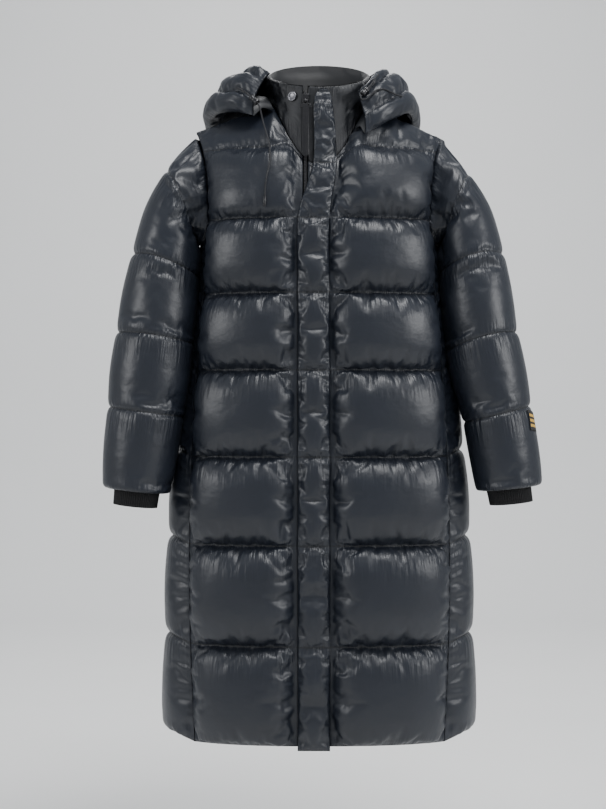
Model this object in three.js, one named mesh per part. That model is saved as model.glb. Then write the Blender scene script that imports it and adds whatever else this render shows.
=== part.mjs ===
// A long quilted down coat, closed at the front and filled out as if it were worn, with nobody in it.
// Millimetres, +Z up, the front faces -Y. The origin lies between the shoulder seams, where a wearer's
// shoulders and neck carry the coat. The wearer's left side is +X.
import * as THREE from "three";

// Driving dimensions
const WALL = 3; // both shells stitched together at a seam
const SEAM_GAP = 0.3; // between two pieces that are sewn to each other
const NECK = { halfWidth: 80, front: 98, back: 72, frontDrop: 119, z: -2, backRise: 8 };
const SHOULDER_TIP = { x: 214, y: -3, leftZ: -64, rightZ: -52 };
const ZIP_X = -24; // the zip lies a little to the wearer's right, under the storm flap
const FLAP = { left: 17, right: -37, longer: 7, clear: 6 }; // edges of the storm flap over the zip
const FRONT_EDGE = 4; // from the middle of the zip to the edge of a front panel
const SQUARENESS = 2.5; // exponent of the body's oval section: 2 is an ellipse

// One row for each quilting seam of the body from the chest to the hem; puff is how far the baffle under it
// stands out, half is the half width, seam and backSeam are where the front and back panels end.
const BODY = [
  { z: -212, half: 201, front: 121, back: 104, seam: 189, backSeam: 190, puff: 25, sidePuff: 2 },
  { z: -338, half: 208, front: 126, back: 108, seam: 198, backSeam: 195, puff: 26, sidePuff: 5 },
  { z: -468, half: 224, front: 130, back: 113, seam: 209, backSeam: 203, puff: 27, sidePuff: 8 },
  { z: -614, half: 242, front: 135, back: 119, seam: 217, backSeam: 212, puff: 28, sidePuff: 10 },
  { z: -762, half: 252, front: 139, back: 125, seam: 220, backSeam: 217, puff: 29, sidePuff: 12 },
  { z: -930, half: 257, front: 142, back: 129, seam: 218, backSeam: 217, puff: 29, sidePuff: 12 },
  { z: -1095, half: 261, front: 142, back: 130, seam: 210, backSeam: 212, puff: 27, sidePuff: 12 },
];
const SIDE_RISE = 9; // how far the seams of a side panel arch above those in front
const YOKE = { seamZ: -88, puff: 14, chestPuff: 24, backPuff: 8, backChestPuff: 14, belowNeck: 8 };
const BAFFLES = BODY.length + 1; // two above the first row of the table

// One row for each quilting seam of a sleeve, from the one below the shoulder to the hem of the sleeve.
// x, y and z are the middle of the section, tilt is how far its outer side is turned up, arch how far the
// seam climbs in front and behind.
const LEFT_SLEEVE = [
  { x: 236, y: -8, z: -188, tilt: 70, half: 62, depth: 70, arch: 20, puff: 5 },
  { x: 262, y: -28, z: -282, tilt: 16, half: 53, depth: 69, arch: 12, puff: 7 },
  { x: 278, y: -46, z: -418, tilt: 15, half: 58, depth: 66, arch: 8, puff: 9 },
  { x: 304, y: -56, z: -542, tilt: 14, half: 53, depth: 63, arch: 0, puff: 9 },
  { x: 324, y: -64, z: -668, tilt: 6, half: 50, depth: 59, arch: 0, puff: 10 },
];
const RIGHT_SLEEVE = [
  { x: 238, y: -8, z: -184, tilt: 68, half: 64, depth: 70, arch: 20, puff: 8 },
  { x: 264, y: -28, z: -286, tilt: 20, half: 56, depth: 69, arch: 8, puff: 9 },
  { x: 281, y: -50, z: -412, tilt: 9, half: 61, depth: 67, arch: 4, puff: 9 },
  { x: 296, y: -64, z: -538, tilt: 8, half: 59, depth: 65, arch: 0, puff: 9 },
  { x: 311, y: -74, z: -672, tilt: 6, half: 51, depth: 60, arch: 0, puff: 9 },
];
const SHOULDER_PUFF = { left: 9, right: 18 };
const LONG_BAFFLE = 110; // a sleeve baffle of this length is filled fully, a shorter one less
const INNER_SHARE = 0.3; // of the puff, on the side of a sleeve that faces the body
const PATCH = { from: 0.055, to: 0.105, top: 4.07, low: 4.27, thick: 1.2, off: 0.5 };
const CUFF = { inside: 32, outside: 27, share: 0.76, wall: 2.5, slack: 0.3 };

// The collar stands up from the neck seam; its top edge is an oval that rises towards the back.
const COLLAR = { halfWidth: 87, front: 84, back: 82, z: 49, rise: 34, puff: 6, inset: 2.1 };
const COLLAR_PLAIN = { left: 58, right: 36 }; // its flat ends under the storm flap, from the zip
const COLLAR_REACH = 30; // its padding reaches full height this far from a flat end

// The lowered hood, as sections turned about the neck from the middle of the back to its front end.
// Out is measured outwards and z upwards from the neck seam. The cloth runs from the rim over the crown
// to the far side, turns at the fold, and comes back under itself to the neck seam.
const HOOD_EDGE = [
  { angle: 0, rimOut: 27, rimZ: 52, crownOut: 62, crownZ: 48 },
  { angle: 32, rimOut: 27, rimZ: 54, crownOut: 62, crownZ: 49 },
  { angle: 62, rimOut: 26, rimZ: 56, crownOut: 56, crownZ: 52 },
  { angle: 90, rimOut: 23, rimZ: 52, crownOut: 54, crownZ: 50 },
  { angle: 114, rimOut: 20, rimZ: 58, crownOut: 42, crownZ: 52 },
  { angle: 138, rimOut: 18, rimZ: 74, crownOut: 28, crownZ: 62 },
];
const HOOD_DROP = [
  { farOut: 136, farZ: -56, foldOut: 108, foldZ: -228, underOut: 86, underZ: -114 },
  { farOut: 136, farZ: -48, foldOut: 108, foldZ: -200, underOut: 86, underZ: -98 },
  { farOut: 120, farZ: -10, foldOut: 116, foldZ: -90, underOut: 82, underZ: -38 },
  { farOut: 95, farZ: 18, foldOut: 110, foldZ: -24, underOut: 64, underZ: 8 },
  { farOut: 74, farZ: 20, foldOut: 78, foldZ: -14, underOut: 46, underZ: 12 },
  { farOut: 44, farZ: 30, foldOut: 46, foldZ: 0, underOut: 30, underZ: 14 },
];
const HOOD = HOOD_EDGE.map((row, i) => ({ ...row, ...HOOD_DROP[i] }));
const HOOD_SEAM = { out: 10.8, up: 12 };
const HOOD_PUFF = [11, 13, 13, 3, 1]; // of each baffle from the rim to the neck seam
const LEFT_SPREAD = 0.76; // the wearer's left half of the hood spreads less
const RIGHT_SPREAD = 1.08;
const RIGHT_TURN = 0.87; // and the right half ends further back

// The storm flap over the zip, one row for each seam from its open top to the row of the chest.
const FLAP_TOP = [
  { z: 10, mid: 7, half: 4, puff: 2, off: 8 },
  { z: -14, mid: 6, half: 16, puff: 4, off: 9 },
  { z: -118, mid: 9, half: 20, puff: 6, off: 9 },
];
const FLAP_HALF = (FLAP.left - FLAP.right) / 2;
const FLAP_PUFF = 12;
const FLAP_OFF = 3.8; // from the middle of a front panel to the middle of the flap's back wall

const CHAIN = { halfWidth: 2.4, front: 1.4, tapeHalf: 9, tapeNear: 3.5, tapeFar: 4.5, end: 16 };
const SLIDER = { z: -9, width: 11, height: 20, off: 3.8, thick: 5 };
const BAIL = { inner: 2, outer: 3.6, width: 2.4, behind: 2.2 };
const PULLER = { bar: 1, hole: 4, holeWidth: 5, barWidth: 19, barHeight: 6, width: 11, length: 84 };
const PULL_TILT = 5.5; // degrees that the pull leans with the cloth it lies on
const SNAP = { x: -44, z: -1, r: 8.5, rim: 1.6, thick: 3 };

// Small helpers
const { clamp, lerp, degToRad } = THREE.MathUtils;
const V = (x, y, z) => new THREE.Vector3(x, y, z);

// Smooth curve through one column of a table; t counts rows.
function column(rows, name, t) {
  const i = Math.min(Math.floor(t), rows.length - 2);
  const f = t - i;
  const p = (k) => rows[clamp(k, 0, rows.length - 1)][name];
  const [a, b, c, d] = [p(i - 1), p(i), p(i + 1), p(i + 2)];
  return b + 0.5 * f * (c - a + f * (2 * a - 5 * b + 4 * c - d + f * (3 * (b - c) + d - a)));
}

// Where a falling function of 0 to end takes a value.
function search(height, value, end) {
  let [lo, hi] = [0, end];
  for (let k = 0; k < 24; k++) {
    const mid = (lo + hi) / 2;
    if (height(mid) > value) lo = mid;
    else hi = mid;
  }
  return (lo + hi) / 2;
}

// How full a baffle is, from 0 at its seams to 1 in the middle.
const full = (share) => Math.sqrt(Math.max(0, 1 - (2 * share - 1) ** 2));

// How full it is at a distance from an edge, reaching 1 at the given reach.
const lift = (distance, reach) => Math.sqrt(Math.max(0, 1 - (1 - clamp(distance / reach, 0, 1)) ** 2));

// Two rows of vertex numbers joined by triangles, each row with its own spacing from 0 to 1.
function stitch(index, a, ta, b, tb, flip) {
  const face = (p, q, r) => (flip ? index.push(p, r, q) : index.push(p, q, r));
  let [i, j] = [0, 0];
  while (i < a.length - 1 || j < b.length - 1) {
    if (j === b.length - 1 || (i < a.length - 1 && ta[i + 1] <= tb[j + 1] + 1e-6)) {
      face(a[i], a[i + 1], b[j]);
      i++;
    } else {
      face(a[i], b[j + 1], b[j]);
      j++;
    }
  }
}

// A closed wall between an outer and an inner grid of points, which may have different spacings.
// A grid is {u, v, at(u, v)}; a ring joins its last column to its first.
function wall(outer, inner, ring = false) {
  const points = [];
  const index = [];
  const number = (grid) => grid.v.map((v) => grid.u.map((u) => points.push(grid.at(u, v)) - 1));
  const [out, inn] = [number(outer), number(inner)];
  const faces = (ids, flip) => {
    for (let r = 0; r < ids.length - 1; r++)
      for (let c = 0; c < ids[0].length - (ring ? 0 : 1); c++) {
        const d = (c + 1) % ids[0].length;
        const [p, q, s, t] = [ids[r][c], ids[r + 1][c], ids[r + 1][d], ids[r][d]];
        if (flip) index.push(p, s, q, p, t, s);
        else index.push(p, q, s, p, s, t);
      }
  };
  faces(out, false);
  faces(inn, true);
  const shares = (list) => list.map((x) => (x - list[0]) / (list.at(-1) - list[0]));
  const round = (list) => (ring ? [...list, list[0]] : list);
  const [uo, ui] = [outer, inner].map((g) => (ring ? [...shares([...g.u, 1])] : shares(g.u)));
  const [vo, vi] = [shares(outer.v), shares(inner.v)];
  stitch(index, round(out[0]), uo, round(inn[0]), ui, false);
  stitch(index, round(out.at(-1)), uo, round(inn.at(-1)), ui, true);
  if (!ring) {
    const edge = (ids, c) => ids.map((row) => row.at(c));
    stitch(index, edge(out, 0), vo, edge(inn, 0), vi, true);
    stitch(index, edge(out, -1), vo, edge(inn, -1), vi, false);
  }
  return solid(points, index);
}

// A geometry from points and triangles, turned inside out if its faces point inwards.
function solid(points, index) {
  let volume = 0;
  for (let i = 0; i < index.length; i += 3) {
    const [a, b, c] = [points[index[i]], points[index[i + 1]], points[index[i + 2]]];
    volume += a.dot(b.clone().cross(c));
  }
  if (volume < 0) index.reverse();
  const geometry = new THREE.BufferGeometry().setFromPoints(points);
  geometry.setIndex(index);
  return geometry;
}

// A padded panel: a surface, its outward side, and how far each point of it is puffed out.
function padded(
  surface, puff, outward, rows, columns, plainRows = rows, ring = false, normalAt = null,
) {
  const step = 0.01;
  const normal = (u, v) => {
    const fixed = normalAt && normalAt(u, v);
    if (fixed) return fixed;
    const along = surface(u + step, v).sub(surface(u - step, v));
    const down = surface(u, v + step).sub(surface(u, v - step));
    const n = along.cross(down).normalize();
    return n.dot(outward(surface(u, v))) < 0 ? n.negate() : n;
  };
  const offset = (u, v, by) => surface(u, v).addScaledVector(normal(u, v), by);
  const outer = { u: columns, v: rows, at: (u, v) => offset(u, v, WALL / 2 + puff(u, v)) };
  const inner = { u: columns, v: plainRows, at: (u, v) => offset(u, v, -WALL / 2) };
  return wall(outer, inner, ring);
}

// Rows for a run of baffles: close together at the seams, where the cloth turns in.
function rowsOf(first, last, shares) {
  const rows = [];
  for (let k = first; k < last; k++) for (const s of shares) rows.push(k + s);
  return [...rows, last];
}
const FINE = [0, 0.06, 0.24, 0.5, 0.76, 0.94];
const COARSE = [0, 0.12, 0.5, 0.88];
const PLAIN = [0, 0.5];

const coat = new THREE.Group();
const shell = new THREE.MeshStandardMaterial({ color: 0x14171c, roughness: 0.32, metalness: 0 });
const knit = new THREE.MeshStandardMaterial({ color: 0x0d0d0f, roughness: 0.9, metalness: 0 });
const hardware = new THREE.MeshStandardMaterial({ color: 0x1b1c1f, roughness: 0.35, metalness: 0.7 });
const thread = new THREE.MeshStandardMaterial({ color: 0xd9a520, roughness: 0.7, metalness: 0 });

function add(name, geometry, material) {
  const mesh = new THREE.Mesh(geometry, material);
  mesh.name = name;
  coat.add(mesh);
  return mesh;
}

// Body
// A point of the body's outline at row t of the table; angle is 0 in front, 90 at the wearer's left.
function outline(t, angle) {
  const s = Math.sin(angle);
  const c = Math.cos(angle);
  const power = 2 / SQUARENESS;
  const depth = column(BODY, c > 0 ? "front" : "back", t);
  const x = column(BODY, "half", t) * Math.sign(s) * Math.abs(s) ** power;
  return V(x, -depth * Math.sign(c) * Math.abs(c) ** power, column(BODY, "z", t));
}

// The depth of the body at x, before (-1) or behind (1) its middle.
function depthAt(t, x, way) {
  const share = Math.min(1, Math.abs(x) / column(BODY, "half", t)) ** SQUARENESS;
  return way * column(BODY, way < 0 ? "front" : "back", t) * (1 - share) ** (1 / SQUARENESS);
}

// The neck seam, angle 0 in front and 180 behind.
function neck(angle) {
  const s = Math.sin(angle);
  const c = Math.cos(angle);
  const z = c > 0 ? NECK.z - NECK.frontDrop * c * c : NECK.z + NECK.backRise * c * c;
  return V(NECK.halfWidth * s, -(c > 0 ? NECK.front : NECK.back) * c, z);
}

const NECK_SHARE = 0.42; // of a panel's top edge; the rest is the shoulder seam
const FOOT = { left: 0.64, right: 0.56, back: 0.58 }; // of a panel's width, below the side of the neck

// How far across a panel half a column u stands, from 0 in the middle to 1 at the side seam.
function across(u, side, way) {
  const foot = way > 0 ? FOOT.back : side > 0 ? FOOT.left : FOOT.right;
  return u < NECK_SHARE ? (u / NECK_SHARE) * foot : lerp(foot, 1, (u - NECK_SHARE) / (1 - NECK_SHARE));
}

// The top edge of a front (way -1) or back (way 1) panel half, from the neck to the shoulder tip.
function topEdge(u, inner, side, way) {
  if (u > NECK_SHARE) {
    const f = (u - NECK_SHARE) / (1 - NECK_SHARE);
    const tipZ = side > 0 ? SHOULDER_TIP.leftZ : SHOULDER_TIP.rightZ;
    const point = V(side * NECK.halfWidth, 0, NECK.z).lerp(V(side * SHOULDER_TIP.x, 0, tipZ), f);
    return point.setY(SHOULDER_TIP.y * f + way * SEAM_GAP);
  }
  const start = Math.asin(inner / NECK.halfWidth);
  const angle = lerp(start, (side * Math.PI) / 2, u / NECK_SHARE);
  return neck(way < 0 ? angle : Math.PI - angle);
}

const ARMHOLE_HOLLOW = 14; // how far the armhole is cut in between the shoulder and the chest

// A point of a front or back panel half. u runs from the middle to the side, v counts seams downwards.
function panelPoint(u, v, inner, side, way) {
  const seam = (t) => side * (column(BODY, way < 0 ? "seam" : "backSeam", t) - SEAM_GAP);
  const low = (t) => {
    const x = lerp(inner, seam(t), across(u, side, way));
    return V(x, depthAt(t, x, way), column(BODY, "z", t));
  };
  if (v >= 2) return low(v - 2);
  const top = topEdge(u, inner, side, way);
  const chest = low(0);
  const hollow = side * ARMHOLE_HOLLOW * u * u;
  const bend = V((top.x + chest.x) / 2 - hollow, chest.y * 0.97, lerp(top.z, chest.z, 0.34));
  const quilt = Math.min(YOKE.seamZ, top.z - YOKE.belowNeck);
  const z = v < 1 ? lerp(top.z, quilt, v) : lerp(quilt, chest.z, v - 1);
  const curve = new THREE.QuadraticBezierCurve3(top, bend, chest);
  return curve.getPoint(search((t) => curve.getPoint(t).z, z, 1));
}

// The way the cut edge of a panel faces along the neck (level), the shoulder (upright) and the armhole.
function edgeNormal(u, v, inner, side, way) {
  if (v > 0) return null;
  if (u > NECK_SHARE + 0.001) return V(0, 0, 1);
  const angle = lerp(Math.asin(inner / NECK.halfWidth), (side * Math.PI) / 2, u / NECK_SHARE);
  return V(Math.sin(angle), way * Math.cos(angle), 0);
}

const EDGE_REACH = 62; // the padding reaches its full height this far from a long seam
const FULL_YOKE = 90; // a yoke of this height is filled like the baffles below it
const TURNED_FLAP = 22; // the open top of the storm flap lies this much further over
const baffle = (v) => clamp(Math.floor(v), 0, BAFFLES - 1);
const bodyPuff = (v, top, chest) => {
  const k = baffle(v);
  const most = k === 0 ? top : k === 1 ? chest : BODY[k - 2].puff;
  return most * full(v - k);
};

// The side panels begin a little below the chest row, where the armhole ends.
const ARMPIT = { drop: 34, edge: 14 }; // below the chest row, in the middle and at its two ends
const CHEST = 2 + ARMPIT.edge / (BODY[0].z - BODY[1].z);
const PANEL_ROWS = [...rowsOf(0, 2, COARSE), CHEST, ...rowsOf(2, BAFFLES, FINE).slice(1)];
PANEL_ROWS.sort((a, b) => a - b);
const PANEL_PLAIN = [...PANEL_ROWS.filter((v) => v < CHEST + 0.01), ...rowsOf(2, BAFFLES, PLAIN).slice(1)];
const NECK_STOPS = [0.3, NECK_SHARE];
const SHOULDER_STOPS = [0.6, 0.8, 0.93, 1];
const BACK_STOPS = [0.14, 0.28, NECK_SHARE, ...SHOULDER_STOPS];
const zipEdge = (side) => ZIP_X + side * FRONT_EDGE;
const flapEdge = (side) => (side > 0 ? FLAP.left : FLAP.right) + side * FLAP.clear;

// The columns of a front panel: one where the storm flap ends, then on to the neck and along the shoulder.
function frontColumns(side) {
  const widest = Math.max(...BODY.map((row) => row.seam)) - side * zipEdge(side);
  const flat = Math.abs(flapEdge(side) - zipEdge(side)) / widest;
  const foot = side > 0 ? FOOT.left : FOOT.right;
  const u = [0, flat / 2, flat, flat + 0.07].map((share) => (share / foot) * NECK_SHARE);
  return [...u, ...NECK_STOPS, ...SHOULDER_STOPS];
}

// A front panel: flat where the storm flap lies on it, padded from there to the side seam.
function frontPanel(side) {
  const inner = zipEdge(side);
  const surface = (u, v) => panelPoint(clamp(u, 0, 1.02), clamp(v, 0, BAFFLES), inner, side, -1);
  const puff = (u, v) => {
    const width = Math.abs(surface(1, v).x - inner);
    const turned = side > 0 ? TURNED_FLAP * clamp(4 - 2 * v, 0, 1) : 0;
    const share = across(u, side, -1);
    const fromFlap = share * width - Math.abs(flapEdge(side) - inner) - turned;
    const top = surface(u, 0).z;
    const height = v < 1 ? top - Math.min(YOKE.seamZ, top - YOKE.belowNeck) : FULL_YOKE;
    const sides = lift(fromFlap, EDGE_REACH) * lift((1 - share) * width, EDGE_REACH);
    return bodyPuff(v, YOKE.puff, YOKE.chestPuff) * sides * clamp(height / FULL_YOKE, 0, 1);
  };
  const shoulder = (u, v) => edgeNormal(u, v, inner, side, -1);
  const forward = () => V(0, -1, 0.3);
  return padded(surface, puff, forward, PANEL_ROWS, frontColumns(side), PANEL_PLAIN, false, shoulder);
}
add("front_left", frontPanel(1), shell);
add("front_right", frontPanel(-1), shell);

// The back is one panel from side seam to side seam; u runs from -1 to 1.
function backPanel() {
  const surface = (u, v) => {
    return panelPoint(Math.min(Math.abs(u), 1.02), clamp(v, 0, BAFFLES), 0, Math.sign(u) || 1, 1);
  };
  const puff = (u, v) => {
    const half = Math.abs(surface(1, v).x);
    const height = v < 1 ? surface(u, 0).z - YOKE.seamZ : FULL_YOKE;
    const most = bodyPuff(v, YOKE.backPuff, YOKE.backChestPuff);
    const sides = lift((1 - across(Math.abs(u), 1, 1)) * half, EDGE_REACH);
    return most * sides * clamp(height / FULL_YOKE, 0, 1);
  };
  const columns = [...BACK_STOPS.map((u) => -u).reverse(), 0, ...BACK_STOPS];
  const shoulder = (u, v) => edgeNormal(Math.abs(u), v, 0, Math.sign(u) || 1, 1);
  return padded(surface, puff, () => V(0, 1, 0.3), PANEL_ROWS, columns, PANEL_PLAIN, false, shoulder);
}
add("back", backPanel(), shell);

// A side panel hangs from the lower edge of the armhole. u runs from the front seam to the back seam.
function sideAngle(t, u) {
  const angle = (name) => {
    const share = (column(BODY, name, t) + SEAM_GAP) / column(BODY, "half", t);
    return Math.asin(share ** (SQUARENESS / 2));
  };
  return lerp(angle("seam"), Math.PI - angle("backSeam"), u);
}
function sidePanel(side) {
  const surface = (u, v) => {
    const t = v - 2;
    const point = outline(Math.max(t, 0), sideAngle(Math.max(t, 0), clamp(u, 0, 1)));
    if (t < 1) {
      const top = BODY[0].z - lerp(ARMPIT.edge, ARMPIT.drop, full(u));
      point.z = lerp(top, BODY[1].z, t);
      const level = (BODY[0].z - point.z) / (BODY[0].z - BODY[1].z);
      const z = point.z;
      point.copy(outline(level, sideAngle(level, clamp(u, 0, 1)))).setZ(z);
    }
    point.z += SIDE_RISE * full(clamp(u, 0, 1)) * clamp(t, 0, 1);
    point.x *= side;
    return point;
  };
  const puff = (u, v) => {
    const k = baffle(v);
    const across = full(clamp(u, 0, 1)) ** 0.7;
    return BODY[k - 2].sidePuff * full(v - k) * across;
  };
  const columns = [0, 0.12, 0.5, 0.88, 1];
  const plainRows = rowsOf(2, BAFFLES, PLAIN);
  return padded(surface, puff, (p) => V(p.x, 0, 0), rowsOf(2, BAFFLES, FINE), columns, plainRows);
}
add("side_left", sidePanel(1), shell);
add("side_right", sidePanel(-1), shell);

// Sleeves
const EDGE_END = 0.8; // of the way down an armhole the front and back panels end and the side panel begins

// The armhole of the wearer's left side: share 0 at the shoulder tip, 0.25 in front, 0.5 at the armpit.
function armhole(share) {
  const s = ((share % 1) + 1) % 1;
  const way = s <= 0.5 ? -1 : 1;
  const down = way < 0 ? s * 2 : (1 - s) * 2; // 0 at the tip, 1 at the armpit
  if (down <= EDGE_END) {
    const point = panelPoint(1, (down / EDGE_END) * CHEST, 0, 1, way);
    return point.setX(point.x + 3 * SEAM_GAP);
  }
  const u = (down - EDGE_END) / (1 - EDGE_END) / 2;
  const z = BODY[0].z - lerp(ARMPIT.edge, ARMPIT.drop, full(u));
  const level = (BODY[0].z - z) / (BODY[0].z - BODY[1].z);
  const point = outline(level, sideAngle(level, way < 0 ? u : 1 - u)).setZ(z);
  return point.setX(point.x + lerp(3 * SEAM_GAP, WALL + 2, clamp(u * 4, 0, 1)));
}

// The cut edge of a sleeve faces the same way as the edge of the panel it is sewn to.
function armholeNormal(u, side) {
  const way = u <= 0.5 ? -1 : 1;
  const down = way < 0 ? u * 2 : (1 - u) * 2;
  if (down > EDGE_END + 0.001) return null;
  if (down < 0.001) return V(0, 0, 1);
  const v = (down / EDGE_END) * CHEST;
  const step = 0.01;
  const along = panelPoint(1 + step, v, 0, 1, way).sub(panelPoint(1 - step, v, 0, 1, way));
  const downwards = panelPoint(1, v + step, 0, 1, way).sub(panelPoint(1, v - step, 0, 1, way));
  const n = along.cross(downwards).normalize();
  if (n.y * way < 0) n.negate();
  return V(side * n.x, n.y, n.z);
}

// A point of a sleeve. u goes round from the outer side to the front, v counts seams from the armhole.
function sleevePoint(table, u, v) {
  const ring = (t) => {
    const get = (name) => column(table, name, t);
    const tilt = degToRad(get("tilt"));
    const angle = 2 * Math.PI * u;
    const w = get("half") * Math.cos(angle);
    const z = get("z") + w * Math.sin(tilt) + get("arch") * Math.sin(angle) ** 2;
    return V(get("x") + w * Math.cos(tilt), get("y") - get("depth") * Math.sin(angle), z);
  };
  if (v >= 1) return ring(v - 1);
  return armhole(u).lerp(ring(0), v);
}

// The columns of a sleeve meet the rows of the front and back panels along the armhole.
const DOWN_STOPS = [...rowsOf(0, 2, COARSE), CHEST].map((v) => (v / CHEST) * EDGE_END);
const UNDER_STOPS = [0.12, 0.5, 0.88].map((u) => EDGE_END / 2 + (1 - EDGE_END) * u);
const SLEEVE_STOPS = [
  ...DOWN_STOPS.map((d) => d / 2),
  ...UNDER_STOPS,
  ...DOWN_STOPS.slice(1).reverse().map((d) => 1 - d / 2),
];

// A sleeve as its surface, its puff and its outward side.
function sleeveForm(table, side, shoulderPuff) {
  const baffles = table.length;
  const surface = (u, v) => {
    const p = sleevePoint(table, u, clamp(v, 0, baffles));
    return V(side * p.x, p.y, p.z);
  };
  const puff = (u, v) => {
    const k = Math.min(Math.floor(v), baffles - 1);
    const length = surface(u, k).distanceTo(surface(u, k + 1));
    const most = k === 0 ? shoulderPuff : table[k - 1].puff;
    const facing = clamp(-Math.cos(2 * Math.PI * u) * 1.4, 0, 1); // 1 on the side next to the body
    return most * full(v - k) * clamp(length / LONG_BAFFLE, 0, 1) * lerp(1, INNER_SHARE, facing);
  };
  const middle = (p) => {
    const t = search((w) => column(table, "z", w), p.z, baffles - 1);
    const row = Math.min(t, baffles - 1.001);
    return V(side * column(table, "x", row), column(table, "y", row), p.z);
  };
  return { surface, puff, outward: (p) => p.clone().sub(middle(p)) };
}
const RING_SAMPLES = 12; // points of a ring that give its middle
function sleeve(table, side, shoulderPuff) {
  const baffles = table.length;
  const { surface, puff, outward } = sleeveForm(table, side, shoulderPuff);
  const middle = (v) => {
    const sum = V(0, 0, 0);
    for (let k = 0; k < RING_SAMPLES; k++) sum.add(surface(k / RING_SAMPLES, v));
    return sum.divideScalar(RING_SAMPLES);
  };
  // Up to its first seam the sleeve puffs away from the middle of its rings, then squarely to the cloth.
  const edge = (u, v) => {
    if (v >= 1) return null;
    const sewn = v <= 0 ? armholeNormal(u, side) : null;
    return sewn || surface(u, v).sub(middle(v)).normalize();
  };
  const plainRows = [...rowsOf(0, 1, FINE), ...rowsOf(1, baffles, PLAIN).slice(1)];
  return padded(surface, puff, outward, rowsOf(0, baffles, FINE), SLEEVE_STOPS, plainRows, true, edge);
}
add("sleeve_left", sleeve(LEFT_SLEEVE, 1, SHOULDER_PUFF.left), shell);
add("sleeve_right", sleeve(RIGHT_SLEEVE, -1, SHOULDER_PUFF.right), shell);

// A woven patch is sewn to the front of the wearer's left sleeve.
function sleevePatch() {
  const { surface, puff, outward } = sleeveForm(LEFT_SLEEVE, 1, SHOULDER_PUFF.left);
  const columns = [0, 0.5, 1].map((f) => lerp(PATCH.from, PATCH.to, f));
  const rows = [0, 0.5, 1].map((f) => lerp(PATCH.top, PATCH.low, f));
  const lifted = (u, v, by) => {
    const step = 0.01;
    const along = surface(u + step, v).sub(surface(u - step, v));
    const n = along.cross(surface(u, v + step).sub(surface(u, v - step))).normalize();
    const p = surface(u, v);
    if (n.dot(outward(p)) < 0) n.negate();
    return p.addScaledVector(n, WALL / 2 + puff(u, v) + by);
  };
  const at = (by) => ({ u: columns, v: rows, at: (u, v) => lifted(u, v, by) });
  return wall(at(PATCH.off + PATCH.thick), at(PATCH.off));
}
add("sleeve_patch", sleevePatch(), thread);

// A knitted cuff is sewn inside each sleeve and shows below its hem.
function cuff(table, side) {
  const hem = table.at(-1);
  const before = table.at(-2);
  const axis = V(hem.x - before.x, hem.y - before.y, hem.z - before.z).normalize();
  const tilt = degToRad(hem.tilt);
  const at = (u, down, share) => {
    const angle = 2 * Math.PI * u;
    const w = share * hem.half * Math.cos(angle);
    const forward = share * hem.depth * Math.sin(angle);
    const p = V(hem.x + w * Math.cos(tilt), hem.y - forward, hem.z + w * Math.sin(tilt));
    p.addScaledVector(axis, down);
    return V(side * p.x, p.y, p.z);
  };
  const fit = 1 - (WALL / 2 + SEAM_GAP + CUFF.slack) / hem.half; // just inside the sleeve
  const profile = [
    { down: -CUFF.inside, share: fit },
    { down: -CUFF.inside + 9, share: fit - 0.03 },
    { down: 0, share: CUFF.share },
    { down: CUFF.outside, share: CUFF.share - 0.02 },
  ];
  const thin = CUFF.wall / hem.half;
  const columns = Array.from({ length: 16 }, (_, i) => i / 16);
  const rows = profile.map((_, i) => i);
  const outer = { u: columns, v: rows, at: (u, v) => at(u, profile[v].down, profile[v].share) };
  const inner = { u: columns, v: rows, at: (u, v) => at(u, profile[v].down, profile[v].share - thin) };
  return wall(outer, inner, true);
}
add("cuff_left", cuff(LEFT_SLEEVE, 1), knit);
add("cuff_right", cuff(RIGHT_SLEEVE, -1), knit);

// Collar
// A point of the collar. angle 0 in front, 180 behind; v runs from the neck seam to the top edge.
function collarPoint(angle, v) {
  const c = Math.cos(angle);
  const depth = c > 0 ? COLLAR.front : COLLAR.back;
  const top = V(COLLAR.halfWidth * Math.sin(angle), -depth * c, COLLAR.z - COLLAR.rise * c);
  const low = neck(angle).add(V(0, 0, 1.5 * SEAM_GAP));
  low.addScaledVector(V(Math.sin(angle), -c, 0), -COLLAR.inset);
  return low.lerp(top, v);
}
// q runs from the zip at the wearer's left (0) over the side (1), the back (2) and the other side (3) to
// the zip again (4), so that the collar's columns meet those of the panels below it.
function collarAngle(q, v) {
  const radius = lerp(NECK.halfWidth, COLLAR.halfWidth, v);
  const quarter = Math.PI / 2;
  if (q <= 1) return lerp(Math.asin(zipEdge(1) / radius), quarter, q);
  if (q <= 3) return quarter * q;
  return lerp(3 * quarter, 4 * quarter + Math.asin(zipEdge(-1) / radius), q - 3);
}

function collarBand() {
  const surface = (q, v) => collarPoint(collarAngle(clamp(q, 0, 4), clamp(v, 0, 1)), clamp(v, 0, 1));
  const puff = (q, v) => {
    const x = surface(q, v).x;
    let fromEdge = COLLAR_REACH;
    if (q < 1) fromEdge = x - zipEdge(1) - COLLAR_PLAIN.left;
    if (q > 3) fromEdge = zipEdge(-1) - x - COLLAR_PLAIN.right;
    return COLLAR.puff * full(clamp(v, 0, 1)) ** 0.8 * lift(fromEdge, COLLAR_REACH);
  };
  const stops = (list, end) => list.filter((u) => u < NECK_SHARE + end).map((u) => u / NECK_SHARE);
  const back = stops(BACK_STOPS, 0.001);
  const columns = [
    ...stops(frontColumns(1), -0.001),
    ...back.map((s) => 2 - s).reverse(),
    2,
    ...back.map((s) => 2 + s),
    ...stops(frontColumns(-1), -0.001).map((s) => 4 - s).reverse(),
  ];
  const edge = (q, v) => {
    const angle = collarAngle(q, 0);
    return v <= 0 ? V(Math.sin(angle), -Math.cos(angle), 0) : null;
  };
  const rows = [0, 0.1, 0.35, 0.65, 0.9, 1];
  return padded(surface, puff, (p) => V(p.x, p.y, 0), rows, columns, [0, 0.35, 0.65, 1], false, edge);
}
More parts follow.
